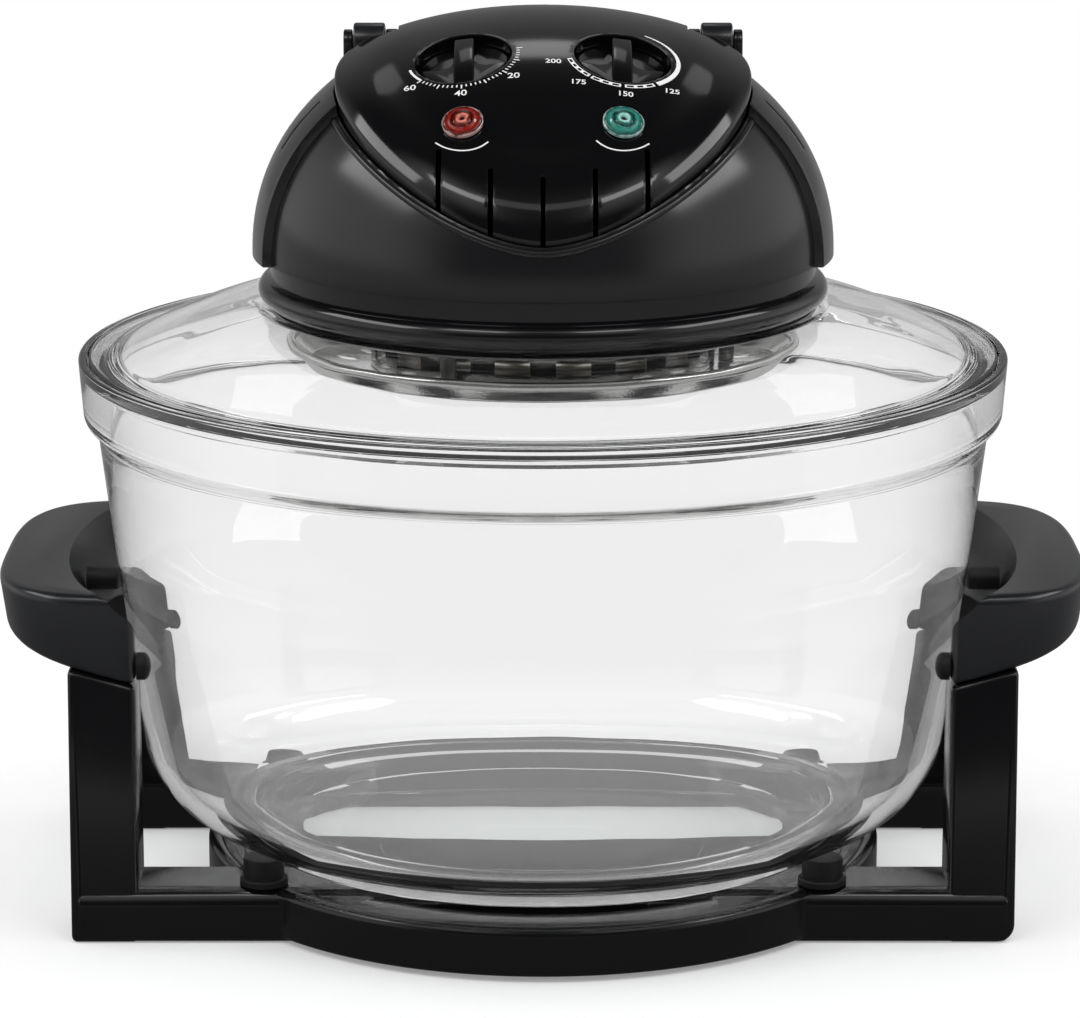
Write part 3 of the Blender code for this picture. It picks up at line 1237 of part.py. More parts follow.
def make_safety_switch(casing, button_finish):
    """The switch that the folded carry handle presses, on a post that stands on the base plate."""
    middle_x = PIN_INNER_X + CAM_WIDTH / 2
    cam_low = PIVOT_Z - CAM_RADIUS - CAM_OFFSET
    top = cam_low - TOUCH_GAP - SWITCH_GAP_BELOW_CAM
    near_y = PIVOT_Y - SWITCH_DEPTH / 2
    far_y = near_y + SWITCH_DEPTH
    low = top - SWITCH_HEIGHT
    arm_top = top - SWITCH_HEIGHT / 2
    plate_top = BASE_PLATE_Z + BASE_PLATE_THICKNESS + TOUCH_GAP
    post_y = SWITCH_ARM_Y - SWITCH_POST_WIDTH
    outline = [(near_y, top), (near_y, low), (post_y, low), (post_y, plate_top)]
    outline += [(SWITCH_ARM_Y, plate_top), (SWITCH_ARM_Y, arm_top), (far_y, arm_top), (far_y, top)]
    half = SWITCH_WIDTH / 2
    body = slab_mesh("safety_switch", outline, middle_x - half, middle_x + half)
    body = piece("safety_switch", body, casing)
    place = Matrix.Translation((middle_x, PIVOT_Y, 0))
    button_top = cam_low - TOUCH_GAP
    button_low = button_top - SWITCH_BUTTON_LENGTH
    bore_r = SWITCH_BUTTON_RADIUS + TURNING_GAP
    bore = rod_mesh("switch_bore", bore_r, button_low - TOUCH_GAP, top + OVERRUN)
    bore.transform(place)
    cut(body, helper("switch_bore", bore))
    button = rod_mesh("switch_button", SWITCH_BUTTON_RADIUS, button_low, button_top, SMALL_SEGMENTS)
    piece("switch_button", button, button_finish).matrix_world = place


# The head: motor, fans and shaft


def make_motor(steel, casing):
    case = rod_mesh("fan_motor", MOTOR_RADIUS, MOTOR_Z, MOTOR_Z + MOTOR_HEIGHT, DIAL_SEGMENTS)
    motor = piece("fan_motor", case, casing)
    hub_low = MOTOR_Z - MOTOR_HUB_HEIGHT
    hub = rod_mesh("motor_hub", MOTOR_HUB_RADIUS, hub_low, MOTOR_Z + RIM_ROUND)
    join(motor, helper("motor_hub", hub))
    bore_top = MOTOR_Z + MOTOR_BORE_DEPTH
    bore = rod_mesh("motor_bore", SHAFT_RADIUS + TURNING_GAP, hub_low - OVERRUN, bore_top)
    cut(motor, helper("motor_bore", bore))
    top = MOTOR_Z - TOUCH_GAP
    low = top - BRACKET_THICKNESS
    half = BRACKET_WIDTH / 2
    bar = block_mesh("motor_bracket", (-BRACKET_REACH, -half, low), (BRACKET_REACH, half, top))
    bracket = piece("motor_bracket", bar, steel)
    plate_top = BASE_PLATE_Z + BASE_PLATE_THICKNESS + TOUCH_GAP
    for hand, where in ((-1, "left"), (1, "right")):
        near, far = sorted((hand * (BRACKET_REACH - BRACKET_THICKNESS), hand * BRACKET_REACH))
        leg = block_mesh(f"bracket_leg_{where}", (near, -half, plate_top), (far, half, low + RIM_ROUND))
        join(bracket, helper(f"bracket_leg_{where}", leg))
    hole = rod_mesh("bracket_hole", MOTOR_HUB_RADIUS + TOUCH_GAP, low - OVERRUN, top + OVERRUN)
    cut(bracket, helper("bracket_hole", hole))


def make_fan(name, radius, low, height, blades, swept, finish):
    """A fan wheel: a disc on a hub, with upright blades."""
    profile = [(SHAFT_RADIUS + TOUCH_GAP, low + height), (FAN_HUB_RADIUS, low + height)]
    profile += [(FAN_HUB_RADIUS, low + FAN_DISC_THICKNESS), (radius, low + FAN_DISC_THICKNESS)]
    profile += [(radius, low), (SHAFT_RADIUS + TOUCH_GAP, low)]
    fan = piece(name, turned_mesh(name, profile, True, HIDDEN_SEGMENTS), finish)
    half = BLADE_THICKNESS / 2
    for i, angle in enumerate(ring_of(blades)):
        start = (FAN_HUB_RADIUS + radius) / 3
        bottom = low + FAN_DISC_THICKNESS / 2
        end = (radius - RIM_ROUND, half, low + height)
        blade = block_mesh(f"{name}_blade_{i}", (start, -half, bottom), end)
        swing = Matrix.Translation((start, 0, 0)) @ Matrix.Rotation(swept, 4, "Z")
        blade.transform(Matrix.Rotation(angle, 4, "Z") @ swing @ Matrix.Translation((-start, 0, 0)))
        join(fan, helper(f"{name}_blade_{i}", blade))
    return fan


def make_shaft(steel):
    top = MOTOR_Z + MOTOR_BORE_DEPTH - TOUCH_GAP
    shaft = rod_mesh("fan_shaft", SHAFT_RADIUS, SHAFT_LOW_Z, top)
    return piece("fan_shaft", shaft, steel)


# The heater under the lid


def round_holes(target, name, count, circle, radius, low, high, squash, first, segments=8):
    """Cuts a ring of holes, squashed along the circle's radius into ovals where asked."""
    for i, angle in enumerate(ring_of(count, first)):
        hole = rod_mesh(f"{name}_{i}", radius, low, high, segments)
        hole.transform(Matrix.Diagonal((squash, 1, 1, 1)))
        hole.transform(Matrix.Rotation(angle, 4, "Z") @ Matrix.Translation((circle, 0, 0)))
        cut(target, helper(f"{name}_{i}", hole))


def reflector_z():
    """Underside of the reflector, clamped beneath the lid."""
    return LID_TOP_Z - LID_THICKNESS - TOUCH_GAP - REFLECTOR_THICKNESS


def make_reflector(steel):
    low = reflector_z()
    high = low + REFLECTOR_THICKNESS
    plate = ring_piece(
        "reflector_plate", SHAFT_HOLE_RADIUS, REFLECTOR_RADIUS, low, high, steel, HIDDEN_SEGMENTS
    )
    first = math.pi / REFLECTOR_HOLES
    round_holes(
        plate,
        "reflector_hole",
        REFLECTOR_HOLES,
        REFLECTOR_HOLE_CIRCLE,
        REFLECTOR_HOLE_RADIUS,
        low - OVERRUN / 4,
        high + OVERRUN / 4,
        1,
        first,
    )
    return plate


def make_cage(steel):
    """The perforated wall round the fan and the lamp, between the reflector and the pan."""
    low = PAN_FLOOR_Z + PAN_SHEET + TOUCH_GAP
    high = reflector_z() - TOUCH_GAP
    inner = CAGE_RADIUS - CAGE_WALL
    cage = ring_piece("heater_cage", inner, CAGE_RADIUS, low, high, steel, CAGE_WINDOWS * 2)
    middle = (low + high) / 2
    half = CAGE_WINDOW_WIDTH / 2
    tall = CAGE_WINDOW_HEIGHT / 2
    for i, angle in enumerate(ring_of(CAGE_WINDOWS)):
        near = (inner - OVERRUN, -half, middle - tall)
        far = (CAGE_RADIUS + OVERRUN, half, middle + tall)
        window = block_mesh(f"cage_window_{i}", near, far)
        window.transform(Matrix.Rotation(angle, 4, "Z"))
        cut(cage, helper(f"cage_window_{i}", window))
    return cage


def make_pan(steel):
    """The guard pan: a dished sheet with a rolled rim, a ring of ovals and holes under the fan."""
    bead_z = PAN_RIM_Z - PAN_BEAD
    profile = arc(PAN_RADIUS - PAN_BEAD, bead_z, PAN_BEAD, 200, -120, 6)
    profile += [(PAN_FLOOR_RADIUS + PAN_SHEET, PAN_FLOOR_Z), (0, PAN_FLOOR_Z)]
    inner = [(0, PAN_FLOOR_Z + PAN_SHEET), (PAN_FLOOR_RADIUS, PAN_FLOOR_Z + PAN_SHEET)]
    pan = piece("guard_pan", turned_mesh("guard_pan", inner + profile, False), steel)
    low = PAN_FLOOR_Z - OVERRUN / 4
    high = PAN_FLOOR_Z + PAN_SHEET + OVERRUN / 4
    first = math.pi / PAN_HOLES
    for name, count, circle, radius, squash, first in (
        ("pan_hole", PAN_HOLES, PAN_HOLE_CIRCLE, PAN_HOLE_RADIUS, PAN_HOLE_SQUASH_SHARE, first),
        ("centre_hole", PAN_CENTRE_HOLES, PAN_CENTRE_HOLE_CIRCLE, PAN_CENTRE_HOLE_RADIUS, 1, 0),
    ):
        round_holes(pan, name, count, circle, radius, low, high, squash, first)
    return pan


def make_lamp(quartz, ceramic):
    """A ring lamp with a gap at the rear, its two ends in ceramic caps."""
    start = math.pi / 2 + LAMP_OPEN_ANGLE / 2
    sweep = 2 * math.pi - LAMP_OPEN_ANGLE
    steps = 28
    path = []
    for i in range(steps + 1):
        angle = start + sweep * i / steps
        x = LAMP_RING_RADIUS * math.cos(angle)
        path.append((x, LAMP_RING_RADIUS * math.sin(angle), LAMP_TUBE_Z))
    piece("halogen_lamp", tube_mesh("halogen_lamp", path, LAMP_TUBE_RADIUS, 2), quartz)
    for hand, where in ((-1, "left"), (1, "right")):
        angle = math.pi / 2 - hand * LAMP_OPEN_ANGLE / 2
        turn = Matrix.Rotation(angle, 4, "Z") @ Matrix.Translation((LAMP_RING_RADIUS, 0, LAMP_TUBE_Z))
        half = LAMP_CAP_WIDTH / 2
        floor = PAN_FLOOR_Z + PAN_SHEET + TOUCH_GAP - LAMP_TUBE_Z
        low_y, high_y = sorted((hand * 2 * TOUCH_GAP, hand * LAMP_CAP_LENGTH))
        mesh = block_mesh(f"lamp_cap_{where}", (-half, low_y, floor), (half, high_y, half))
        mesh.transform(turn)
        piece(f"lamp_cap_{where}", mesh, ceramic)


def make_hangers(steel):
    """Bolts that hold the pan under the reflector."""
    low = PAN_FLOOR_Z + PAN_SHEET + TOUCH_GAP
    high = reflector_z() - TOUCH_GAP
    for i, angle in enumerate(ring_of(HANGERS)):
        name = f"pan_spacer_{i + 1}"
        bolt = piece(name, rod_mesh(name, HANGER_RADIUS, low, high), steel)
        place = Matrix.Translation((CAGE_RADIUS + OVERRUN, 0, 0))
        bolt.matrix_world = Matrix.Rotation(angle, 4, "Z") @ place


# The cord's inlet at the rear


def make_gland(rubber):
    """The bush in the rear cover that the supply lead would pass through."""
    seat_y = DOME_RADIUS + TOUCH_GAP
    end_y = seat_y + GLAND_FLANGE_LENGTH
    low = end_y - GLAND_LENGTH
    bush = rod_mesh("cord_gland", GLAND_RADIUS, low, end_y)
    turn = around((0, 0, GLAND_Z), Matrix.Rotation(math.radians(-90), 4, "X"))
    gland = piece("cord_gland", bush, rubber)
    gland.matrix_world = turn
    flange = rod_mesh("gland_flange", GLAND_RADIUS + GLAND_FLANGE, seat_y, end_y)
    bore = rod_mesh("gland_inner_bore", GLAND_BORE_RADIUS, low - OVERRUN, end_y + OVERRUN)
    for mesh, act in ((flange, join), (bore, cut)):
        other = helper(mesh.name, mesh)
        other.matrix_world = turn
        act(gland, other)
    return gland


def make_cooker():
    start_scene()
    gloss = material("gloss_black_plastic", (0.012, 0.012, 0.013), 0.12)
    satin = material("satin_black_plastic", (0.02, 0.02, 0.022), 0.35)
    rubber = material("black_rubber", (0.015, 0.015, 0.015), 0.7)
    glass = material("clear_glass", (0.92, 0.96, 0.95), 0.02, 0.0, 0.25)
    steel = material("polished_steel", (0.72, 0.72, 0.7), 0.22, 1.0)
    quartz = material("quartz_glass", (0.95, 0.93, 0.88), 0.05, 0.0, 0.5)
    ceramic = material("white_ceramic", (0.85, 0.84, 0.8), 0.5)
    casing = material("grey_casing", (0.3, 0.3, 0.32), 0.5)
    red = material("red_lens", (0.6, 0.02, 0.02), 0.1)
    green = material("green_lens", (0.02, 0.35, 0.28), 0.1)
    make_stand(gloss)
    make_side_handle("side_handle_left", -1, gloss)
    make_side_handle("side_handle_right", 1, gloss)
    make_buffers(rubber)
    make_pads(rubber)
    make_bowl(glass)
    make_lid(glass)
    make_gasket(rubber)
    make_collar(gloss)
    make_base_plate(steel)
    make_covers(gloss, panel_hole())
    make_panel(gloss)
    make_lens("power_lamp", -1, red)
    make_lens("heat_lamp", 1, green)
    make_dial("timer", -1, gloss, steel, casing)
    make_dial("thermostat", 1, gloss, steel, casing)
    make_carry_handle(gloss, steel)
    make_safety_switch(satin, gloss)
    make_motor(steel, casing)
    make_fan(
        "cooling_fan",
        COOLING_FAN_RADIUS,
        COOLING_FAN_Z,
        COOLING_BLADE_HEIGHT,
        COOLING_BLADES,
        COOLING_BLADE_SWEEP,
        satin,
    )
    make_fan(
        "convection_fan",
        CONVECTION_FAN_RADIUS,
        CONVECTION_FAN_Z,
        CONVECTION_BLADE_HEIGHT,
        CONVECTION_BLADES,
        CONVECTION_BLADE_SWEEP,
        steel,
    )
    make_shaft(steel)
    make_reflector(steel)
    make_cage(steel)
    make_pan(steel)
    make_lamp(quartz, ceramic)
    make_hangers(steel)
    make_gland(rubber)


make_cooker()
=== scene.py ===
"""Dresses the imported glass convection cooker: smooth skins, glass, metal, rubber and print."""

from math import atan, copysign, cos, degrees, hypot, pi, radians, sin, sqrt

import bmesh
import bpy
from mathutils import Matrix, Vector


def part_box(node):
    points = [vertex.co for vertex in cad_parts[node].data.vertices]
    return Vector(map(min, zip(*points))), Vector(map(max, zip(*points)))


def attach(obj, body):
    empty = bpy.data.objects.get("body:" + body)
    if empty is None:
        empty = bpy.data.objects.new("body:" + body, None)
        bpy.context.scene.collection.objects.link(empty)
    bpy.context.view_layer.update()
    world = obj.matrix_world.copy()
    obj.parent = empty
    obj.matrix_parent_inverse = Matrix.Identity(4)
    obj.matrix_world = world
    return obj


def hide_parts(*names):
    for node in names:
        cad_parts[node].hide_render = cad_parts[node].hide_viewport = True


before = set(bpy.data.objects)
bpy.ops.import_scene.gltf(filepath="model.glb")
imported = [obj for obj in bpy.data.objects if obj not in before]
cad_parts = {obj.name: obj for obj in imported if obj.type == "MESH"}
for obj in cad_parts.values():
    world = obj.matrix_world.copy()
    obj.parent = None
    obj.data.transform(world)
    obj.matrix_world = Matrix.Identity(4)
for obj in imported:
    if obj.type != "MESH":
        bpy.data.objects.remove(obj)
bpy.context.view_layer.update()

# The view: a tele lens a little above the rim, looking down on the front of the cooker.
# The studio is white to the eye and through glass. Mirrored rays see a dark room instead, with dim
# side walls, a glow over the front and seven soft boxes.
view_distance = 1.65
view_height = 0.139
view_pitch = radians(13.5)
camera_data = bpy.data.cameras.new("view")
camera_data.lens = 150.6
camera_data.sensor_width = 36
camera_data.shift_x = -0.0028
camera = bpy.data.objects.new("view", camera_data)
bpy.context.scene.collection.objects.link(camera)
reach = view_distance * cos(view_pitch)
rise = view_distance * sin(view_pitch)
camera.location = (0, -reach, view_height + rise)
camera.rotation_euler = (pi / 2 - view_pitch, 0, 0)
bpy.context.scene.camera = camera
bpy.context.scene.view_settings.view_transform = "Standard"


def linear(code, alpha=1.0):
    """An sRGB hex colour as the linear values that a shader takes."""
    values = [int(code[i : i + 2], 16) / 255 for i in (0, 2, 4)]
    return (*[v / 12.92 if v <= 0.04045 else ((v + 0.055) / 1.055) ** 2.4 for v in values], alpha)


def add_node(tree, kind, settings=None, output=0):
    """Adds a shader node and gives one output; settings go to the node or its inputs, sockets linked."""
    node = tree.nodes.new(f"ShaderNode{kind}")
    for key, value in (settings or {}).items():
        if isinstance(value, bpy.types.NodeSocket):
            tree.links.new(value, node.inputs[key])
        elif isinstance(key, str) and hasattr(node, key):
            setattr(node, key, value)
        else:
            node.inputs[key].default_value = value
    return node.outputs[output] if node.outputs else node


def ray_kinds(tree):
    """Factors: 1 for a ray that was mirrored, for one through a few walls of glass, for a diffuse one."""
    rays = add_node(tree, "LightPath").node.outputs
    mirrored = add_node(tree, "Math", {"operation": "GREATER_THAN", 0: rays["Glossy Depth"], 1: 0.5})
    few_walls = add_node(tree, "Math", {"operation": "LESS_THAN", 0: rays["Transmission Depth"], 1: 5.5})
    both = {"operation": "MULTIPLY", 0: rays["Is Transmission Ray"], 1: few_walls}
    in_glass = add_node(tree, "Math", both)
    return mirrored, in_glass, rays["Is Diffuse Ray"]


world = bpy.data.worlds.new("studio")
bpy.context.scene.world = world
world.use_nodes = True
sky = world.node_tree
sky.nodes.clear()
axes = add_node(sky, "SeparateXYZ", {0: add_node(sky, "TexCoord", output="Generated")}).node.outputs
sideways = add_node(sky, "Math", {"operation": "ABSOLUTE", 0: axes["X"]})
levels = []
for value, start, end, low, high in (
    (axes["Y"], 0.3, 1.0, 0.03, 0.28),
    (axes["Y"], 0.0, -0.5, 0.0, 1.1),
    (sideways, 0.05, 0.4, 0.1, 1.0),
    (axes["Z"], 0.3, 0.85, 0.0, 1.0),
    (sideways, 0.5, 0.95, 0.0, 0.75),
    (axes["Z"], 0.7, 0.3, 0.0, 1.0),
    (axes["Y"], -0.6, 0.35, 0.12, 1.0),
):
    ends = {"From Min": start, "From Max": end, "To Min": low, "To Max": high, "Value": value}
    levels.append(add_node(sky, "MapRange", {"interpolation_type": "SMOOTHSTEP", **ends}))
back_wall, front, apart, overhead, flanks, low_down, depths = levels
glow = add_node(sky, "Math", {"operation": "MULTIPLY", 0: front, 1: apart})
room = add_node(sky, "Math", {"operation": "MULTIPLY_ADD", 0: glow, 1: overhead, 2: back_wall})
room = add_node(sky, "Math", {"operation": "MULTIPLY_ADD", 0: flanks, 1: low_down, 2: room})
mirrored, in_glass, diffuse = ray_kinds(sky)
bent = add_node(sky, "Mix", {"Factor": in_glass, "A": room, "B": depths})
shown = add_node(sky, "Mix", {"Factor": mirrored, "A": 1.0, "B": bent})
strength = add_node(sky, "Mix", {"Factor": diffuse, "A": shown, "B": 0.8})
white = add_node(sky, "Background", {"Color": linear("ffffff"), "Strength": strength})
add_node(sky, "OutputWorld", {"Surface": white})

for name, place, size, energy in (
    ("left_box", (-1.05, -0.1, 1.05), (1.1, 0.36), 4.6),
    ("right_box", (1.05, -0.1, 1.05), (1.1, 0.36), 4.6),
    ("front_left_box", (-0.4, -0.62, 1.12), (0.42, 0.17), 0.9),
    ("front_right_box", (0.4, -0.62, 1.12), (0.42, 0.17), 0.9),
    ("front_box", (0.0, -0.66, 1.15), (0.5, 0.2), 0.22),
    ("back_box", (0.0, 0.82, 1.3), (0.6, 0.26), 0.3),
    ("inner_back_box", (0.0, 0.8, 1.28), (0.16, 0.2), 0.12),
):
    light = bpy.data.lights.new(name, "AREA")
    light.shape = "RECTANGLE"
    light.size, light.size_y = size
    light.energy = energy
    lamp = bpy.data.objects.new(name, light)
    lamp.location = place
    lamp.rotation_euler = (Vector((0, 0, 0.2)) - Vector(place)).to_track_quat("-Z", "Y").to_euler()
    bpy.context.scene.collection.objects.link(lamp)

# The floor is a white table; only the shadow near the stand shows on it.
# Away from the cooker it fades into the white of the studio, and mirrored rays see it in dusk.
bpy.ops.mesh.primitive_plane_add(size=24, location=(0, 0, 0))
floor = bpy.context.object
floor.name = "floor"
table = bpy.data.materials.new("white_table")
table.use_nodes = True
tree = table.node_tree
tree.nodes.clear()
ground = add_node(tree, "TexCoord", output="Object")
away = add_node(tree, "VectorMath", {"operation": "LENGTH", 0: ground}, "Value")
grain = add_node(tree, "TexNoise", {"Scale": 90.0, "Detail": 3.0, "Vector": ground})
greys = {"data_type": "RGBA", "Factor": grain, 6: linear("e2e2e2"), 7: linear("e6e6e6")}
matt = add_node(tree, "BsdfDiffuse", {"Color": add_node(tree, "Mix", greys, 2)})
lift = add_node(tree, "Emission", {"Color": linear("ffffff"), "Strength": 0.24})
near = add_node(tree, "AddShader", {0: matt, 1: lift})
far = add_node(tree, "Emission", {"Color": linear("ffffff"), "Strength": 1.0})
ends = {"From Min": 0.2, "From Max": 1.2, "To Min": 0.1, "To Max": 0.35}
dusk = add_node(tree, "MapRange", {**ends, "Value": away})
mirrored, in_glass, diffuse = ray_kinds(tree)
dusk = add_node(tree, "Mix", {"Factor": in_glass, "A": dusk, "B": 0.6})
dim = add_node(tree, "Emission", {"Color": linear("ffffff"), "Strength": dusk})
fading = {"interpolation_type": "SMOOTHSTEP", "From Min": 0.22, "From Max": 0.6, "Value": away}
shown = add_node(tree, "MixShader", {0: add_node(tree, "MapRange", fading), 1: near, 2: far})
seen = add_node(tree, "MixShader", {0: mirrored, 1: shown, 2: dim})
surface = add_node(tree, "MixShader", {0: diffuse, 1: seen, 2: matt})
add_node(tree, "OutputMaterial", {"Surface": surface})
floor.data.materials.append(table)


# The stand is one injection moulding in black ABS: two rails, four posts and a ring under the bowl.
# The mould was polished, so it is glossy, with a faint waviness that breaks up its reflections.
def new_finish(name, values):
    """A material with values for its shader, its tree, the shader and the Object coordinates."""
    made = bpy.data.materials.new(name)
    made.use_nodes = True
    shader = made.node_tree.nodes["Principled BSDF"]
    for key, value in values.items():
        shader.inputs[key].default_value = value
    return made, made.node_tree, shader, add_node(made.node_tree, "TexCoord", output="Object")


def feed(tree, shader, sources):
    """Links sockets to a shader's inputs by name."""
    for name, source in sources.items():
        tree.links.new(source, shader.inputs[name])


def worked(name, values, colours, rough, patch_mm, wave_mm, detail, depth_mm, streak=1.0):
    """A finish with patches in its polish and shallow waves, their sizes in millimetres."""
    made, tree, shader, place = new_finish(name, values)
    patches = add_node(tree, "TexNoise", {"Scale": 1000 / patch_mm, "Detail": 4.0, "Vector": place})
    stretched = add_node(tree, "Mapping", {"Scale": (streak, 1.0, 1.0), "Vector": place})
    waves = add_node(tree, "TexNoise", {"Scale": 1000 / wave_mm, "Detail": detail, "Vector": stretched})
    pair = {"data_type": "RGBA", "Factor": patches, 6: linear(colours[0]), 7: linear(colours[1])}
    ends = {"To Min": rough[0], "To Max": rough[1], "Value": patches}
    bump = add_node(tree, "Bump", {"Distance": depth_mm / 1000, "Height": waves})
    sources = {"Base Color": add_node(tree, "Mix", pair, 2), "Roughness": add_node(tree, "MapRange", ends)}
    feed(tree, shader, {**sources, "Normal": bump})
    return made


def plastic(name, colours, rough, wave_mm, depth_mm, streak=1.0):
    """A moulded plastic, slightly wavy."""
    ends = (rough * 0.8, rough * 1.25)
    return worked(name, {"IOR": 1.53}, colours, ends, 35, wave_mm, 1.0, depth_mm, streak)


def ring_by_ring(name, profile, steps, closed=False):
    """A turned shape: a circle is extruded, raised and resized at each (radius, height) of a profile."""
    radius, height = profile[0]
    bpy.ops.mesh.primitive_circle_add(vertices=steps, radius=radius, location=(0, 0, height))
    made = bpy.context.object
    made.name = name
    bpy.ops.object.transform_apply()
    bpy.ops.object.mode_set(mode="EDIT")
    bpy.ops.mesh.select_all(action="SELECT")
    for (radius, height), (next_radius, next_height) in zip(profile, profile[1:]):
        bpy.ops.mesh.extrude_edges_move(TRANSFORM_OT_translate={"value": (0, 0, next_height - height)})
        grow = next_radius / radius
        bpy.ops.transform.resize(value=(grow, grow, 1), center_override=(0, 0, next_height))
    if closed:
        bpy.ops.mesh.select_all(action="DESELECT")
        bpy.ops.mesh.select_non_manifold(use_wire=False, use_multi_face=False, use_verts=False)
        bpy.ops.mesh.bridge_edge_loops()
    bpy.ops.mesh.select_all(action="SELECT")
    bpy.ops.mesh.remove_doubles(threshold=0.00002)
    bpy.ops.mesh.normals_make_consistent(inside=False)
    bpy.ops.object.mode_set(mode="OBJECT")
    return made


def round_arc(centre_r, centre_z, radius, start, end, steps):
    """Points on an arc in a turned profile, its angles in degrees."""
    angles = [radians(start + (end - start) * i / steps) for i in range(steps + 1)]
    return [(centre_r + radius * cos(a), centre_z + radius * sin(a)) for a in angles]


def box_between(name, low, high):
    """A cube primitive stretched between two corners."""
    bpy.ops.mesh.primitive_cube_add(size=1)
    made = bpy.context.object
    made.name = name
    size = Vector(high) - Vector(low)
    made.matrix_world = Matrix.Translation((Vector(high) + Vector(low)) / 2) @ Matrix.Diagonal((*size, 1))
    bpy.ops.object.transform_apply()
    return made


def alone(obj):
    """Leaves one object selected and active."""
    bpy.ops.object.select_all(action="DESELECT")
    obj.select_set(True)
    bpy.context.view_layer.objects.active = obj
    return obj


def use(obj, kind, **settings):
    """Adds a modifier, sets it and applies it."""
    alone(obj)
    made = obj.modifiers.new(kind.lower(), kind)
    for key, value in settings.items():
        setattr(made, key, value)
    bpy.ops.object.modifier_apply(modifier=made.name)
    return obj


def join_to(obj, others, operation="UNION"):
    """Adds or cuts away other shapes, which are then removed."""
    for other in others:
        use(obj, "BOOLEAN", operation=operation, object=other, solver="EXACT")
        bpy.data.objects.remove(other)
    return obj


def bevel_edges(obj, width, steps=2, angle=35):
    """Rounds the edges that turn by more than an angle, after a weld."""
    use(obj, "WELD", merge_threshold=0.00002)
    rounding = {"width": width, "segments": steps, "angle_limit": radians(angle)}
    return use(obj, "BEVEL", limit_method="ANGLE", **rounding)


def dress(obj, body, slot, finish, *nodes, angle=30):
    """Gives a piece its finish and its body, and hides the nodes that it stands for; the slot argument is
    not used.
    """
    alone(obj)
    bpy.ops.object.shade_smooth_by_angle(angle=radians(angle))
    obj.data.materials.clear()
    obj.data.materials.append(finish)
    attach(obj, body)
    if nodes:
        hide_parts(*nodes)
    return obj


def round_chosen(obj, chosen, width, steps):
    """Rounds the edges whose two ends both pass a test."""
    alone(obj)
    bpy.ops.object.mode_set(mode="EDIT")
    shape = bmesh.from_edit_mesh(obj.data)
    for edge in shape.edges:
        edge.select = all(chosen(vertex.co) for vertex in edge.verts)
    bmesh.update_edit_mesh(obj.data)
    bpy.ops.mesh.bevel(offset=width, segments=steps, affect="EDGES")
    bpy.ops.object.mode_set(mode="OBJECT")


rail_outer = 0.0815
rail_inner = 0.0515
rail_top = 0.0195
post_outer = 0.1674
post_inner = 0.1435
post_taper = 0.0073
handle_low = 0.0924
handle_slope = 0.26
ring_outer = 0.1238
ring_inner = 0.1005
stand_black = plastic("polished_black_abs", ("08080a", "0e0e10"), 0.13, 14.0, 0.004)
half_bead = 0.0031
bead_inner = ring_outer - 2 * half_bead
stand = ring_by_ring(
    "stand",
    round_arc(ring_outer - half_bead, rail_top - half_bead, half_bead, 180, 0, 10)
    + [(ring_outer, 0.0028), (ring_outer - 0.0006, 0.0022), (ring_inner, 0.0022)]
    + [(ring_inner, rail_top - 0.0022), (bead_inner - 0.0022, rail_top - 0.0022)]
    + [(bead_inner - 0.0022, rail_top - 0.0026), (bead_inner, rail_top - 0.0026)],
    144,
    closed=True,
)
rails = []
for side in (-1, 1):
    low_y, high_y = sorted((side * rail_outer, side * rail_inner))
    low = (-post_outer + 0.0022, low_y, 0.0003)
    rail = box_between("rail", low, (post_outer - 0.0022, high_y, rail_top))
    round_chosen(rail, lambda p: p.z > rail_top - 0.001 and abs(p.y) > rail_outer - 0.001, 0.0065, 8)
    rails.append(bevel_edges(rail, 0.0022, 3))
    for hand in (-1, 1):
        low_x, high_x = sorted((hand * post_inner, hand * post_outer))
        post = box_between("post", (low_x, low_y + 0.0003, 0), (high_x, high_y - 0.0003, 0.09))
        for vertex in post.data.vertices:
            if vertex.co.z > 0.05:
                vertex.co.z = handle_low - 0.0003 + handle_slope * (abs(vertex.co.x) - post_inner)
                if vertex.co.y * side > rail_outer - 0.002:
                    vertex.co.y -= side * post_taper
        round_chosen(post, lambda p: p.z < 0.001 and abs(p.x) > post_outer - 0.001, 0.006, 6)
        rails.append(bevel_edges(post, 0.002, 3))
join_to(stand, rails)
dress(bevel_edges(stand, 0.0008, 2, 40), "stand", "gloss_black", stand_black, "stand_frame")


# Each side handle is a hollow-backed ABS moulding screwed onto two posts.
# Its top is satin, with faint drag lines from the mould, and its rim is rounded.
def superellipse(reach_x, reach_y, power, start, end, steps):
    """Points on a superellipse, its angles in degrees."""
    points = []
    for i in range(steps + 1):
        angle = radians(start + (end - start) * i / steps)
        x = copysign(reach_x * abs(cos(angle)) ** (2 / power), cos(angle))
        y = copysign(reach_y * abs(sin(angle)) ** (2 / power), sin(angle))
        points.append((x, y))
    return points


def from_bmesh(name, shape):
    """An object at the origin with the faces of a bmesh."""
    mesh = bpy.data.meshes.new(name)
    shape.to_mesh(mesh)
    shape.free()
    made = bpy.data.objects.new(name, mesh)
    bpy.context.scene.collection.objects.link(made)
    return made


def loft(name, rows):
    """A closed shape through rows of points that lie over each other, its ends filled."""
    shape = bmesh.new()
    made_rows = [[shape.verts.new(place) for place in row] for row in rows]
    count = len(rows[0])
    for low, high in zip(made_rows, made_rows[1:]):
        for i in range(count):
            after = (i + 1) % count
            shape.faces.new((low[i], low[after], high[after], high[i]))
    shape.faces.new(made_rows[0])
    shape.faces.new(made_rows[-1])
    bmesh.ops.recalc_face_normals(shape, faces=shape.faces)
    return from_bmesh(name, shape)


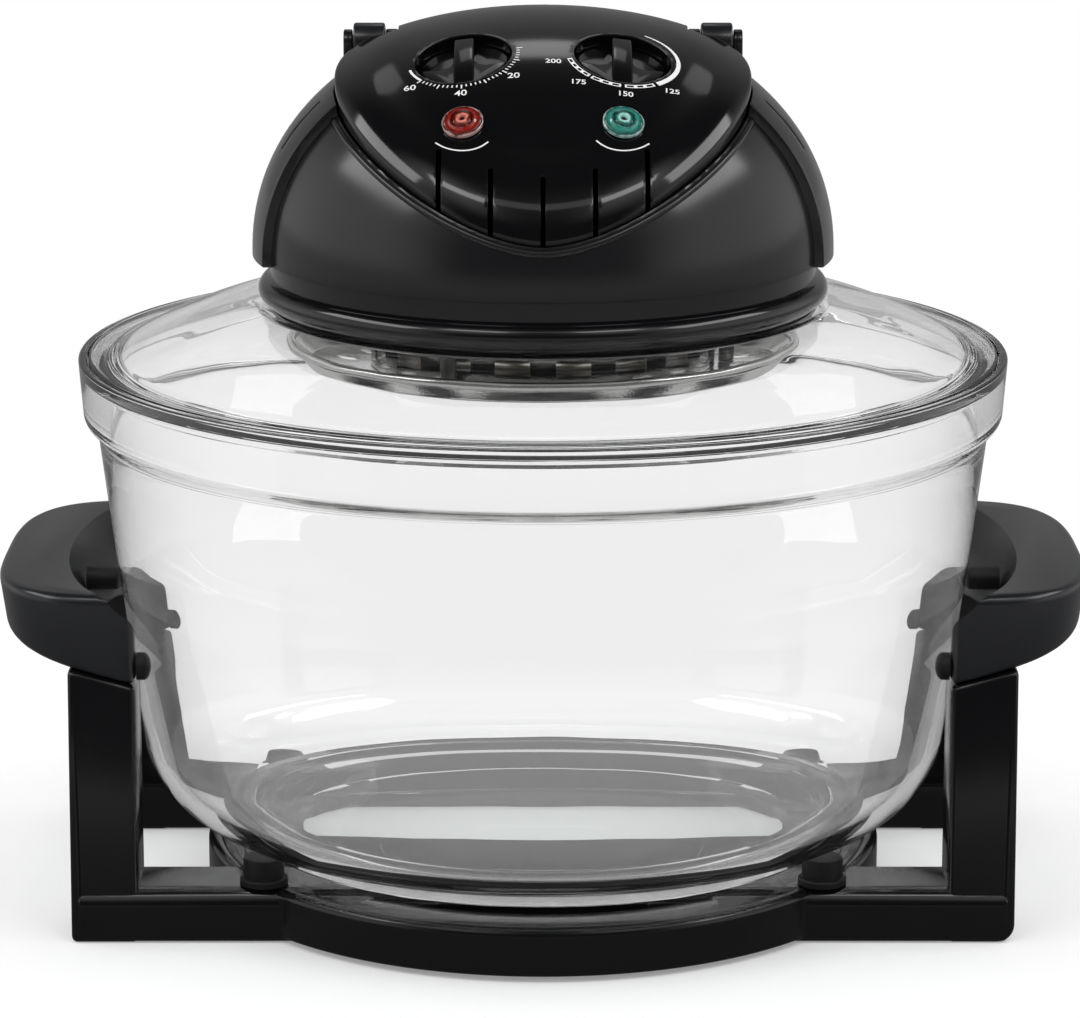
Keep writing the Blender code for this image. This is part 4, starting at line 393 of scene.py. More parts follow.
sides = ((-1, "left"), (1, "right"))
handle_outer = 0.1965
handle_top = 0.1254
handle_end = 0.0744
opening_low = (handle_low - 0.004, 0.16132, 0.05588)
opening_high = (handle_top + 0.004, 0.17338, 0.08262)
handle_satin = plastic("satin_black_abs", ("121316", "1b1c1f"), 0.24, 6.0, 0.05, 0.1)
for hand, where in sides:
    rows = []
    for draft, raised in ((0.003, False), (0.0, True)):
        arch = superellipse(handle_outer - post_inner - draft, handle_end, 3.3, -90, 90, 64)
        row = []
        for x, y in arch:
            height = handle_top if raised else handle_low + handle_slope * x
            row.append((hand * (post_inner + x), y, height))
        rows.append(row)
    grip = bevel_edges(loft(f"grip_{where}", rows), 0.0034, 5, 40)
    rows = []
    for height, opening_x, opening_y in (opening_low, opening_high):
        arch = superellipse(opening_x - post_inner, opening_y, 2, -90, 90, 56)
        row = [(post_inner - 0.004, -opening_y)] + [(post_inner + x, y) for x, y in arch]
        row += [(post_inner - 0.004, opening_y)]
        rows.append([(hand * x, y, height) for x, y in row])
    join_to(grip, [loft("scoop", rows)], "DIFFERENCE")
    bevel_edges(grip, 0.0009, 3, 32)
    dress(grip, "stand", "gloss_black", handle_satin, f"side_handle_{where}")


# Silicone rubber buttons steady the bowl, and four pads carry it; all are pushed into holes.
# They are matt black with a fine grain from the mould.
soot = {"Base Color": linear("0c0c0c"), "IOR": 1.45}
rubber, tree, shader, place = new_finish("black_silicone_rubber", soot)
grain = add_node(tree, "TexNoise", {"Scale": 1000 / 0.7, "Detail": 2.0, "Vector": place})
rough = add_node(tree, "MapRange", {"To Min": 0.45, "To Max": 0.65, "Value": grain})
bump = add_node(tree, "Bump", {"Distance": 0.00004, "Height": grain})
feed(tree, shader, {"Roughness": rough, "Normal": bump})


def turned(spot, angle, axis):
    """A turn about an axis at a spot."""
    return Matrix.Translation(spot) @ Matrix.Rotation(radians(angle), 4, axis)


def place_piece(obj, matrix):
    """Puts a piece made at the origin in its place, in its mesh."""
    obj.data.transform(matrix)
    return obj


def plug_poles(obj):
    """Closes the small holes that a turned shape leaves on its axis."""
    alone(obj)
    bpy.ops.object.mode_set(mode="EDIT")
    bpy.ops.mesh.select_all(action="DESELECT")
    only_ends = {"use_wire": False, "use_multi_face": False, "use_non_contiguous": False, "use_verts": False}
    bpy.ops.mesh.select_non_manifold(**only_ends)
    bpy.ops.mesh.edge_face_add()
    bpy.ops.mesh.select_all(action="SELECT")
    bpy.ops.mesh.normals_make_consistent(inside=False)
    bpy.ops.object.mode_set(mode="OBJECT")
    return obj


def add_button(node, name, hand, dome_share):
    """A round-ended button inside its node's box, its crown towards the bowl."""
    low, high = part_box(node)
    radius = (high[2] - low[2]) / 2
    length = high[0] - low[0]
    crown = []
    for angle in (5, 20, 40, 60, 78):
        drop = length * dome_share * (1 - cos(radians(angle)))
        crown.append((radius * sin(radians(angle)), length - drop))
    foot = [(radius, length * (1 - dome_share)), (radius, 0), (radius * 0.1, 0)]
    button = plug_poles(ring_by_ring(name, crown + foot, 40))
    middle = Vector((high[0] if hand > 0 else low[0], (low[1] + high[1]) / 2, (low[2] + high[2]) / 2))
    place_piece(button, turned(middle, -90 * hand, "Y"))
    dress(button, "stand", "rubber", rubber, node)


for end in ("front", "rear"):
    for hand, where in sides:
        add_button(f"post_buffer_{end}_{where}", f"stud_{end}_{where}", hand, 0.5)
        node = f"rest_pad_{end}_{where}"
        low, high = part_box(node)
        radius = (high[0] - low[0]) / 2
        height = high[2] - low[2]
        body = radius - 0.0013
        profile = [(0.0004, height), (body - 0.0012, height), (body - 0.0003, height - 0.0003)]
        profile += [(body, height - 0.0012), (body, 0.0024), (radius - 0.0003, 0.0022), (radius, 0.0019)]
        profile += [(radius, 0), (0.0004, 0)]
        pad = plug_poles(ring_by_ring(f"pad_{end}_{where}", profile, 48))
        place_piece(pad, Matrix.Translation(((low[0] + high[0]) / 2, (low[1] + high[1]) / 2, low[2])))
        dress(pad, "stand", "rubber", rubber, node)
for hand, where in sides:
    add_button(f"handle_buffer_{where}", f"bumper_{where}", hand, 1 / 8)

# The bowl is pressed soda-lime glass, tempered, with a heavy rim band, a rebate for the lid and a foot.
# Pressing leaves its faces faintly wavy. Light and its shadows go straight through the glass.
clear_glass = {"Base Color": linear("fdfdfd"), "Roughness": 0.0, "IOR": 1.5, "Transmission Weight": 1.0}
glass, tree, shader, place = new_finish("pressed_soda_lime_glass", clear_glass)
waves = add_node(tree, "TexNoise", {"Scale": 1000 / 45, "Detail": 1.0, "Vector": place})
bump = add_node(tree, "Bump", {"Distance": 0.0003, "Height": waves})
feed(tree, shader, {"Normal": bump})
rays = add_node(tree, "LightPath").node.outputs
clear = add_node(tree, "BsdfTransparent", {"Color": linear("f2f4f3")})
bounced = add_node(tree, "MixShader", {0: rays["Is Diffuse Ray"], 1: shader.outputs[0], 2: clear})
either = add_node(tree, "MixShader", {0: rays["Is Shadow Ray"], 1: bounced, 2: clear})
feed(tree, tree.nodes["Material Output"], {"Surface": either})

wall = 0.0048
wall_low = (0.149, 0.073)
wall_high = (0.1608, 0.1705)
slope = (wall_high[0] - wall_low[0]) / (wall_high[1] - wall_low[1])
tilt = degrees(atan(slope))
floor_z = 0.030
corner = 0.033


def wall_at(height):
    """Outer radius of the bowl's sloping wall at a height."""
    return wall_low[0] + slope * (height - wall_low[1])


corner_z = floor_z + corner
corner_r = wall_at(corner_z) - corner * sqrt(1 + slope * slope)
rim_r = 0.1675
rim_z = 0.199
band_z = rim_z - 0.0195
ledge_z = rim_z - 0.0045
rebate_r = rim_r - 0.0028
inner_band_z = band_z - 0.0042 + wall
profile = [(0.0005, floor_z + wall)]
profile += round_arc(corner_r, corner_z, corner - wall, -90, -tilt, 16)
profile += [(wall_at(inner_band_z) - wall, inner_band_z), (0.1568, ledge_z - 0.0006)]
profile += round_arc(0.1576, ledge_z - 0.0004, 0.0004, 180, 90, 3)
profile += [(rebate_r - 0.0004, ledge_z), (rebate_r, ledge_z + 0.0004), (rebate_r, rim_z - 0.0005)]
profile += round_arc(rebate_r + 0.0005, rim_z - 0.0005, 0.0005, 180, 90, 3)
profile += round_arc(rim_r - 0.0011, rim_z - 0.0011, 0.0011, 90, 0, 4)
profile += round_arc(rim_r - 0.0014 - 0.0042, band_z, 0.0042, 0, -70, 8)
profile += [(wall_at(band_z - 0.0084), band_z - 0.0084)]
profile += round_arc(corner_r, corner_z, corner, -tilt, -90, 18)
profile += [(0.1135, floor_z), (0.113, floor_z - 0.0005), (0.1125, 0.0245), (0.1115, 0.0235)]
profile += [(0.1075, 0.0235), (0.1065, 0.0245), (0.1060, floor_z - 0.0004), (0.1054, floor_z)]
profile += [(0.0005, floor_z)]
bowl = plug_poles(ring_by_ring("bowl", profile, 160))
dress(bowl, "bowl", "glass", glass, "glass_bowl", angle=40)

# The lid is pressed from the same glass: a shallow dome with a flat land and a hole for the heater.
# A spigot under its edge drops into the bowl's rebate.
lid_glass = glass.copy()
lid_glass.name = "pressed_lid_glass"
seat = 0.1948
thick = 0.0046
lid_rise = 0.0185
edge = rebate_r - 0.0008
flange = edge - 0.0095
land = 0.1015
spigot = 0.1572 - 0.0008
top = [(0.0905, seat + thick + lid_rise - 0.0006), (0.0911, seat + thick + lid_rise)]
under = [(0.0905, seat + lid_rise + 0.0006), (0.0911, seat + lid_rise)]
for i in range(25):
    share = i / 24
    radius = land + (flange - land) * share
    height = lid_rise * (1 - 0.35 * share - 0.65 * share * share)
    top.append((radius, seat + thick + height))
    under.append((radius, seat + height))
under = [(radius, height) for radius, height in under if radius < spigot - 0.0056]
profile = top + [(edge - 0.0016, seat + thick)]
profile += round_arc(edge - 0.0011, seat + thick - 0.0011, 0.0011, 90, 0, 4)
profile += [(edge, seat + 0.0004), (edge - 0.0004, seat), (spigot, seat), (spigot, seat - 0.0036)]
profile += [(spigot - 0.0008, seat - 0.0042), (spigot - 0.0034, seat - 0.0042)]
profile += [(spigot - 0.0042, seat - 0.0034), (spigot - 0.0042, seat + 0.0011)] + under[::-1]
lid = ring_by_ring("lid", profile, 160, closed=True)
dress(lid, "lid", "glass", lid_glass, "glass_lid", angle=40)


# The heater hangs under the lid: a clamped reflector, a perforated cage and a dished guard pan.
# They are punched and pressed from bright nickel-plated sheet; the pan's rim is rolled.
def sheet_metal(name, colours, low, high, grain_mm):
    """Bright sheet metal with a fine grain."""
    return worked(name, {"Metallic": 1.0}, colours, (low, high), 22, grain_mm, 2.0, 0.03)


nickel = sheet_metal("nickel_plated_sheet", ("cfcfcd", "e4e4e2"), 0.05, 0.14, 0.8)


def merge(objects):
    """Joins objects into the first one."""
    alone(objects[0])
    for other in objects[1:]:
        other.select_set(True)
    bpy.ops.object.join()
    return objects[0]


def punch(sheet, count, circle, radius, low, high, squash=1.0, first=0.0):
    """Punches a ring of holes through a level sheet; squash makes them ovals."""
    cutters = []
    for i in range(count):
        angle = first + 2 * pi * i / count
        bpy.ops.mesh.primitive_cylinder_add(vertices=32, radius=radius, depth=high - low)
        cutter = bpy.context.object
        turn = Matrix.Rotation(angle, 4, "Z") @ Matrix.Translation((circle, 0, (low + high) / 2))
        place_piece(cutter, turn @ Matrix.Diagonal((squash, 1, 1, 1)))
        cutters.append(cutter)
    return join_to(sheet, [merge(cutters)], "DIFFERENCE")


low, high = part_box("reflector_plate")
profile = [(high[0], low[2] + 0.0002), (high[0], high[2] - 0.0002), (high[0] - 0.0002, high[2])]
profile += [(0.006, high[2]), (0.006, low[2]), (high[0] - 0.0002, low[2])]
reflector = ring_by_ring("reflector", profile, 96, closed=True)
punch(reflector, 16, 0.0765, 0.0052, low[2] - 0.001, high[2] + 0.001, first=pi / 16)
dress(reflector, "lid", "steel", nickel, "reflector_plate")

low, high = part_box("heater_cage")
cage_in = 0.0605
cage_out = 0.0615
profile = [(cage_in, high[2]), (cage_out, high[2]), (cage_out, low[2]), (cage_in, low[2])]
cage = ring_by_ring("cage", profile, 108, closed=True)
middle = (low[2] + high[2]) / 2
half_wide = 0.00625
half_tall = 0.0036
windows = []
for i in range(18):
    low_corner = (cage_in - 0.004, -half_wide, middle - half_tall)
    window = box_between("window", low_corner, (cage_out + 0.004, half_wide, middle + half_tall))
    bevel_edges(window, 0.0011, 3)
    windows.append(place_piece(window, Matrix.Rotation(2 * pi * i / 18, 4, "Z")))
join_to(cage, [merge(windows)], "DIFFERENCE")
dress(cage, "lid", "steel", nickel, "heater_cage")

pan_floor = 0.1967
pan_flat = 0.0825
pan_rim = 0.0917
pan_top = 0.2046
sheet = 0.001
bead = 0.0016
profile = [(0.0005, pan_floor + sheet), (pan_flat, pan_floor + sheet)]
profile += round_arc(pan_flat, pan_floor + sheet + 0.002, 0.002, -90, -40, 5)
profile += round_arc(pan_rim - bead, pan_top - bead, bead, 200, -120, 14)
profile += round_arc(0.0832, pan_floor + 0.003, 0.003, -35, -90, 6) + [(0.0005, pan_floor)]
pan = plug_poles(ring_by_ring("pan", profile, 144))
punch(pan, 18, 0.0715, 0.0062, pan_floor - 0.001, pan_floor + 0.002, 0.62, pi / 18)
punch(pan, 8, 0.026, 0.0075, pan_floor - 0.001, pan_floor + 0.002)
dress(pan, "lid", "steel", nickel, "guard_pan")

# The halogen lamp is a bent quartz tube with a tungsten coil, in two ceramic end caps.
# Frosted quartz hides the coil, so the tube alone is made.
quartz = glass.copy()
quartz.name = "frosted_quartz_tube"
shader = quartz.node_tree.nodes["Principled BSDF"]
for key, value in (("Base Color", linear("f4efe6")), ("Roughness", 0.25), ("IOR", 1.46)):
    shader.inputs[key].default_value = value


def sweep(name, path, section, outward, closed=False):
    """Carries a section of (across, outward) points along a path."""
    shape = bmesh.new()
    rings = []
    for i, place in enumerate(path):
        before = path[i - 1] if closed or i else path[0]
        after = path[(i + 1) % len(path)] if closed or i + 1 < len(path) else path[-1]
        along = (Vector(after) - Vector(before)).normalized()
        lean = Vector(outward[i] if isinstance(outward, list) else outward)
        out = (lean - lean.dot(along) * along).normalized()
        across = along.cross(out)
        rings.append([shape.verts.new(Vector(place) + across * u + out * v) for u, v in section])
    count = len(section)
    pairs = list(zip(rings, rings[1:])) + ([(rings[-1], rings[0])] if closed else [])
    for first, second in pairs:
        for i in range(count):
            after = (i + 1) % count
            shape.faces.new((first[i], first[after], second[after], second[i]))
    if not closed:
        shape.faces.new(rings[0])
        shape.faces.new(rings[-1])
    bmesh.ops.recalc_face_normals(shape, faces=shape.faces)
    return from_bmesh(name, shape)


def circle_section(radius, steps):
    """A round section for a sweep."""
    angles = [2 * pi * i / steps for i in range(steps)]
    return [(radius * cos(a), radius * sin(a)) for a in angles]


bend_radius = 0.0535
gap_angle = 36
path = []
for i in range(97):
    angle = radians(90 + gap_angle / 2 + (360 - gap_angle) * i / 96)
    path.append((bend_radius * cos(angle), bend_radius * sin(angle), 0.2045))
tube = sweep("tube", path, circle_section(0.0042, 24), (0, 0, 1))
dress(tube, "lid", "quartz", quartz, "halogen_lamp")

# The head's lower housing is a beaded ring of satin black phenolic that stands on the lid.
# Only its bead shows, between the glass and the dome's skirt; a rubber gasket lies under it.
lid_top = seat + thick + lid_rise
housing_low = lid_top + 0.0003
housing_seat = housing_low + 0.0017
bead = 0.0043
dome_black = plastic("satin_black_phenolic", ("0f0f11", "141416"), 0.2, 9.0, 0.006)
profile = [(0.0957, 0.2393), (0.0982, 0.2393), (0.0982, housing_low + 0.0094)]
profile += round_arc(0.1025 - bead, housing_low + bead, bead, 78, -62, 18)
profile += [(0.0997, housing_low), (0.0991, housing_low), (0.0982, housing_seat), (0.0862, housing_seat)]
profile += [(0.0862, 0.2234), (0.0795, 0.2234), (0.0795, 0.2259), (0.0957, 0.2259)]
housing = ring_by_ring("housing", profile, 160, closed=True)
dress(housing, "lid", "gloss_black", stand_black, "lower_housing", angle=40)
low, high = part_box("lid_gasket")
profile = [(0.0916, high[2]), (high[0], high[2]), (high[0], low[2]), (0.0916, low[2])]
dress(ring_by_ring("gasket", profile, 96, closed=True), "lid", "rubber", rubber, "lid_gasket")

# The dome is moulded in two covers, the front one 3 mm smaller and stepped at the seam.
# Their edge at the control panel is rolled outwards, which catches a bright line.
equator = 0.2357
seam_y = -0.033
dome_power = 2.1


def shell(name, radius, rise, wall):
    """Half a dome's turned profile with a skirt, closed by its inner face."""
    skirt = 0.2346
    outer = []
    inner = []
    for i in range(49):
        angle = radians(90 * i / 48)
        across = max(cos(angle), 1e-6) ** (2 / dome_power)
        up = sin(angle) ** (2 / dome_power)
        outer.append((max(radius * across, 0.0004), equator + rise * up))
        inner.append((max((radius - wall) * across, 0.0003), equator + (rise - wall) * up))
    edge = [(radius - 0.0003, skirt), (radius, skirt + 0.0003)]
    profile = inner[::-1] + [(radius - wall, skirt)] + edge + outer[1:]
    stray = [p for p in profile if abs(p[0] - radius + wall) < 1e-6 and skirt < p[1] < 0.2396]
    return plug_poles(ring_by_ring(name, [p for p in profile if p not in stray], 160))


panel_tilt = 40
cosine = cos(radians(panel_tilt))
sine = sin(radians(panel_tilt))
panel_half = 0.0735
panel_low = 0.0903
panel_high = 0.042
panel_middle = 0.0262
crest_y = 0.015
crest_z = 0.3215
panel_reach = 0.118
panel_drop = 0.0858
side_arc = 0.2
panel_matrix = turned((0, 0, equator), panel_tilt, "X")
ridge_height = 0.0026
ridge_share = 0.34


def panel_outline(steps):
    """The panel's shield outline as (across, up) from its widest place, clockwise."""
    lower = superellipse(panel_half, panel_low, 1.8, 0, -180, steps)
    upper = superellipse(panel_half, panel_high, 2.4, 180, 0, steps // 2)
    return lower[:-1] + upper[:-1]


def face_height(x, y):
    """Height of the panel's plain face over a point."""
    share = min(abs(y - crest_y) / panel_reach, 1.0)
    ridge = crest_z - panel_drop * (1 - (1 - share**1.8) ** (1 / 1.8))
    radius = ridge - crest_z + side_arc
    return crest_z - side_arc + sqrt(max(radius * radius - x * x, 1e-8))


def solve_height(inside):
    """Distance along the panel's own Z at which a line leaves a form."""
    low, high = 0.0, 0.16
    for _ in range(36):
        middle = (low + high) / 2
        low, high = (middle, high) if inside(middle) else (low, middle)
    return low


def panel_point(across, up, lower=0.0, ridged=True):
    """A point of the panel's face; along its front border a soft ridge stands proud."""
    v = up + panel_middle

    def inside(w):
        return equator + v * sine + w * cosine < face_height(across, v * cosine - w * sine)

    w = solve_height(inside) - lower
    reach_up, power = (panel_low, 1.8) if up < 0 else (panel_high, 2.4)
    norm = (abs(across / panel_half) ** power + abs(up / reach_up) ** power) ** (1 / power)
    share = (1 - norm) / ridge_share
    if ridged and 0 < share < 1:
        weight = min(max(0.5 - up / 0.06, 0), 1)
        w += ridge_height * weight * weight * (3 - 2 * weight) * 6.75 * share * (1 - share) ** 2
    return panel_matrix @ Vector((across, v, w))


def cover_point(across, up, radius, rise, lift):
    """A point over the dome, along the panel's own Z."""
    v = up + panel_middle

    def inside(w):
        flat = hypot(across, v * cosine - w * sine) / radius
        tall = max(v * sine + w * cosine, 0) / rise
        return flat**dome_power + tall**dome_power < 1

    return panel_matrix @ Vector((across, v, solve_height(inside) + lift))


def panel_prism(name, grow):
    """The panel's outline, grown a little, as a prism through the dome."""
    rows = []
    for w in (0.0415, 0.13):
        row = []
        for across, up in panel_outline(96):
            scale = 1 + grow / hypot(across, up)
            row.append(panel_matrix @ Vector((across * scale, up * scale + panel_middle, w)))
        rows.append(row)
    return loft(name, rows)


def notch(hand, inset):
    """The corner of the panel that is left out for the carry handle's pivot."""
    low_x, high_x = sorted((hand * (0.0517 + inset), hand * 0.11))
    return box_between("notch", (low_x, 0.0045 + inset, 0.23), (high_x, 0.11, 0.33))


pivot_y = 0.0135
pivot_z = 0.3085
eye_space = (0.0078, 0.0563, 0.0684)


def across_rod(hand, radius, low, high, y=pivot_y, z=pivot_z):
    """A rod along X on one side, between two distances from the middle."""
    bpy.ops.mesh.primitive_cylinder_add(vertices=48, radius=radius, depth=high - low)
    made = bpy.context.object
    return place_piece(made, turned((hand * (low + high) / 2, y, z), 90, "Y"))


def opening_prism():
    """What the covers leave open for the panel."""
    prism = panel_prism("opening", 0.0006)
    return join_to(prism, [notch(-1, 0.0003), notch(1, 0.0003)], "DIFFERENCE")


front_radius = 0.1015
front_rise = 0.0815
front = shell("front", front_radius, front_rise, 0.0025)
join_to(front, [box_between("rest", (-0.12, seam_y - 0.0003, 0.2), (0.12, 0.12, 0.34))], "DIFFERENCE")
join_to(front, [opening_prism()], "DIFFERENCE")
bevel_edges(front, 0.0004, 2, 45)
lip = []
leans = []
for across, up in panel_outline(96):
    scale = 1 + 0.0021 / hypot(across, up)
    place = cover_point(across * scale, up * scale, front_radius, front_rise, -0.0006)
    if place.y < seam_y - 0.0014 and place.z < 0.3:
        lip.append(place)
        leans.append(panel_matrix.to_3x3() @ Vector((across, up, 0.06)).normalized())
roll = sweep("roll", lip, circle_section(0.0014, 16), leans)
dress(merge([front, roll]), "lid", "gloss_black", dome_black, "front_cover", angle=40)

rear = shell("rear", 0.1045, 0.0845, 0.0052)
join_to(rear, [box_between("rest", (-0.12, -0.12, 0.2), (0.12, seam_y, 0.34))], "DIFFERENCE")
cutters = [opening_prism()]
supports = []
for hand in (-1, 1):
    cutters.append(across_rod(hand, *eye_space))
    low_x, high_x = sorted((hand * 0.05, hand * 0.12))
    cutters.append(box_between("slot", (low_x, -0.01855, 0.2745), (high_x, -0.01685, 0.2915)))
    for low, high, radius, foot in ((0.0521, 0.0563, 0.0046, 0.3045), (0.0684, 0.0716, 0.0044, 0.2975)):
        arch = superellipse(radius, radius, 2, 0, 180, 24)
        rows = []
        for x in (hand * low, hand * high):
            row = [(x, pivot_y + y, pivot_z + z) for y, z in arch]
            rows.append(row + [(x, pivot_y - radius, foot), (x, pivot_y + radius, foot)])
        supports.append(bevel_edges(loft("support", rows), 0.0005, 2, 40))
for i in range(-3, 4):
    x = i * 0.0085
    cutters.append(box_between("vent", (x - 0.0015, 0.05, 0.2555), (x + 0.0015, 0.12, 0.2775)))
gland_hole = across_rod(1, 0.0065, 0.05, 0.12, 0, 0)
gland_z = 0.2475
cutters.append(place_piece(gland_hole, turned((0, 0, gland_z), 90, "Z")))
join_to(rear, cutters, "DIFFERENCE")
join_to(rear, supports)
space = [across_rod(hand, 0.0029, 0.043, 0.0703) for hand in (-1, 1)]
space += [across_rod(hand, 0.0046, 0.0461, 0.0499) for hand in (-1, 1)]
join_to(rear, space, "DIFFERENCE")
bevel_edges(rear, 0.0004, 2, 45)
dress(rear, "lid", "gloss_black", dome_black, "rear_cover", angle=40)

# The cord's bush is a rubber grommet in the rear cover.
# It is moulded with a flange and pushed into its hole from outside.
profile = [(0.0037, 0.0), (0.0058, 0.0), (0.0062, 0.0004), (0.0062, 0.011), (0.0084, 0.011)]
profile += [(0.0084, 0.0126), (0.008, 0.013), (0.0041, 0.013), (0.0037, 0.0126)]
gland = ring_by_ring("gland", profile, 48, closed=True)
place_piece(gland, turned((0, 0.0938, gland_z), -90, "X"))
dress(gland, "lid", "rubber", rubber, "cord_gland")

# The control panel is one gloss black moulding: a shield with two dishes, lamp holes and five slots.
# Its front border rolls over a soft ridge into a steep skirt.
panel_black = plastic("gloss_black_panel", ("060607", "08080a"), 0.1, 30.0, 0.004)
outline = panel_outline(128)
shares = [0.0, 0.003, 0.008] + [0.008 + 0.972 * (i / 44) ** 1.25 for i in range(1, 45)]
rows = []
for share in shares:
    drop = (0.0007, 0.0002, 0.0)[shares.index(share)] if share < 0.009 else 0.0
    rows.append([panel_point(a * (1 - share), u * (1 - share), drop) for a, u in outline])
skirt_out = [panel_point(a, u, 0.009) for a, u in outline]
skirt_in = [panel_point(a * 0.966, u * 0.966, 0.009) for a, u in outline]
under = []
for share in (0.034, 0.1, 0.2, 0.35, 0.5, 0.65, 0.8, 0.9, 0.98):
    under.append([panel_point(a * (1 - share), u * (1 - share), 0.0026) for a, u in outline])
panel = loft("panel", rows[::-1] + [skirt_out, skirt_in] + under)


def face_frame(hand, x, y):
    """Frame on the panel's face: X across, Y up the slope, Z outwards."""
    x = hand * x
    step = 0.0011
    slope_x = (face_height(x + step, y) - face_height(x - step, y)) / (2 * step)
    slope_y = (face_height(x, y + step) - face_height(x, y - step)) / (2 * step)
    normal = Vector((-slope_x, -slope_y, 1)).normalized()
    across = Vector((1, 0, 0))
    across = (across - across.dot(normal) * normal).normalized()
    made = Matrix((across, normal.cross(across), normal)).transposed().to_4x4()
    made.translation = (x, y, face_height(x, y))
    return made


def upright_rod(place, radius, low, high, steps=96):
    """A rod along a frame's Z."""
    bpy.ops.mesh.primitive_cone_add(vertices=steps, radius1=radius, radius2=radius, depth=high - low)
    return place_piece(bpy.context.object, place @ Matrix.Translation((0, 0, (low + high) / 2)))


dial_x = 0.028
dial_y = -0.0326
lamp_x = 0.0275
lamp_y = -0.0666
dish = 0.0169
depth = 0.0088
cups = []
cutters = []
for hand in (-1, 1):
    place = face_frame(hand, dial_x, dial_y)
    cups.append(upright_rod(place, dish + 0.0022, -depth - 0.0022, -0.0016))
    profile = [(0.0004, -depth), (dish - 0.0014, -depth), (dish - 0.0006, -depth + 0.0008)]
    profile += [(dish, -0.0016), (dish + 0.0001, -0.0011), (dish + 0.0013, 0.0001), (dish + 0.003, 0.0045)]
    profile += [(0.0004, 0.0045)]
    cutters.append(place_piece(plug_poles(ring_by_ring("dish", profile, 96)), place))
    cutters.append(upright_rod(place, 0.0034, -0.02, 0.0))
    cutters.append(upright_rod(face_frame(hand, lamp_x, lamp_y), 0.0053, -0.008, 0.004, steps=48))
    cutters.append(notch(hand, 0))
    cutters.append(across_rod(hand, *eye_space))
    low_x, high_x = sorted((hand * 0.044, hand * 0.0735))
    cutters.append(box_between("relief", (low_x, 0.0075, equator), (high_x, 0.11, 0.3131)))
for i in range(-2, 3):
    x = i * 0.0178
    top = (0.2758, 0.2782, 0.2836)[abs(i)]
    slot = box_between("slot", (x - 0.0009, -0.12, 0.249), (x + 0.0009, -0.059, top))
    cutters.append(bevel_edges(slot, 0.0006, 2, 60))
join_to(panel, cups)
join_to(panel, cutters, "DIFFERENCE")
bevel_edges(panel, 0.0003, 2, 50)
dress(panel, "lid", "gloss_black", panel_black, "control_panel", angle=35)

# The two knobs are moulded in the same black: a disc with an upright grip that flares into a fan.
# Each is pushed onto the flatted shaft of its switch.
for hand, kind in ((-1, "timer"), (1, "thermostat")):
    place = face_frame(hand, dial_x, dial_y)
    base = 0.0003 - depth
    knob = upright_rod(place, 0.0161, base, base + 0.0032)
    bevel_edges(knob, 0.0007, 3, 50)
    fan = superellipse(0.0153, 0.0153, 2, 188, 352, 48)
    fan += [(0.0082, -0.0028), (0.0052, -0.0016), (0.0037, 0.0014), (-0.0037, 0.0014)]
    fan += [(-0.0052, -0.0016), (-0.0082, -0.0028)]
    rows = [[place @ Vector((x, y, base + z)) for x, y in fan] for z in (0.002, 0.0056)]
    flare = bevel_edges(loft("flare", rows), 0.0009, 3, 40)
    bar = ((0.0146, 0.002), (0.0146, 0.0074), (-0.0042, 0.0074), (-0.0148, 0.0058), (-0.0148, 0.002))
    rows = [[place @ Vector((x, y, base + z)) for y, z in bar] for x in (-0.0037, 0.0037)]
    grip = bevel_edges(loft("grip", rows), 0.0009, 3, 25)
    join_to(knob, [flare, grip])
    join_to(knob, [upright_rod(place, 0.0033, base - 0.004, base + 0.0065, steps=32)], "DIFFERENCE")
    dress(knob, f"{kind}_dial", "satin_black", panel_black, f"{kind}_knob", angle=35)
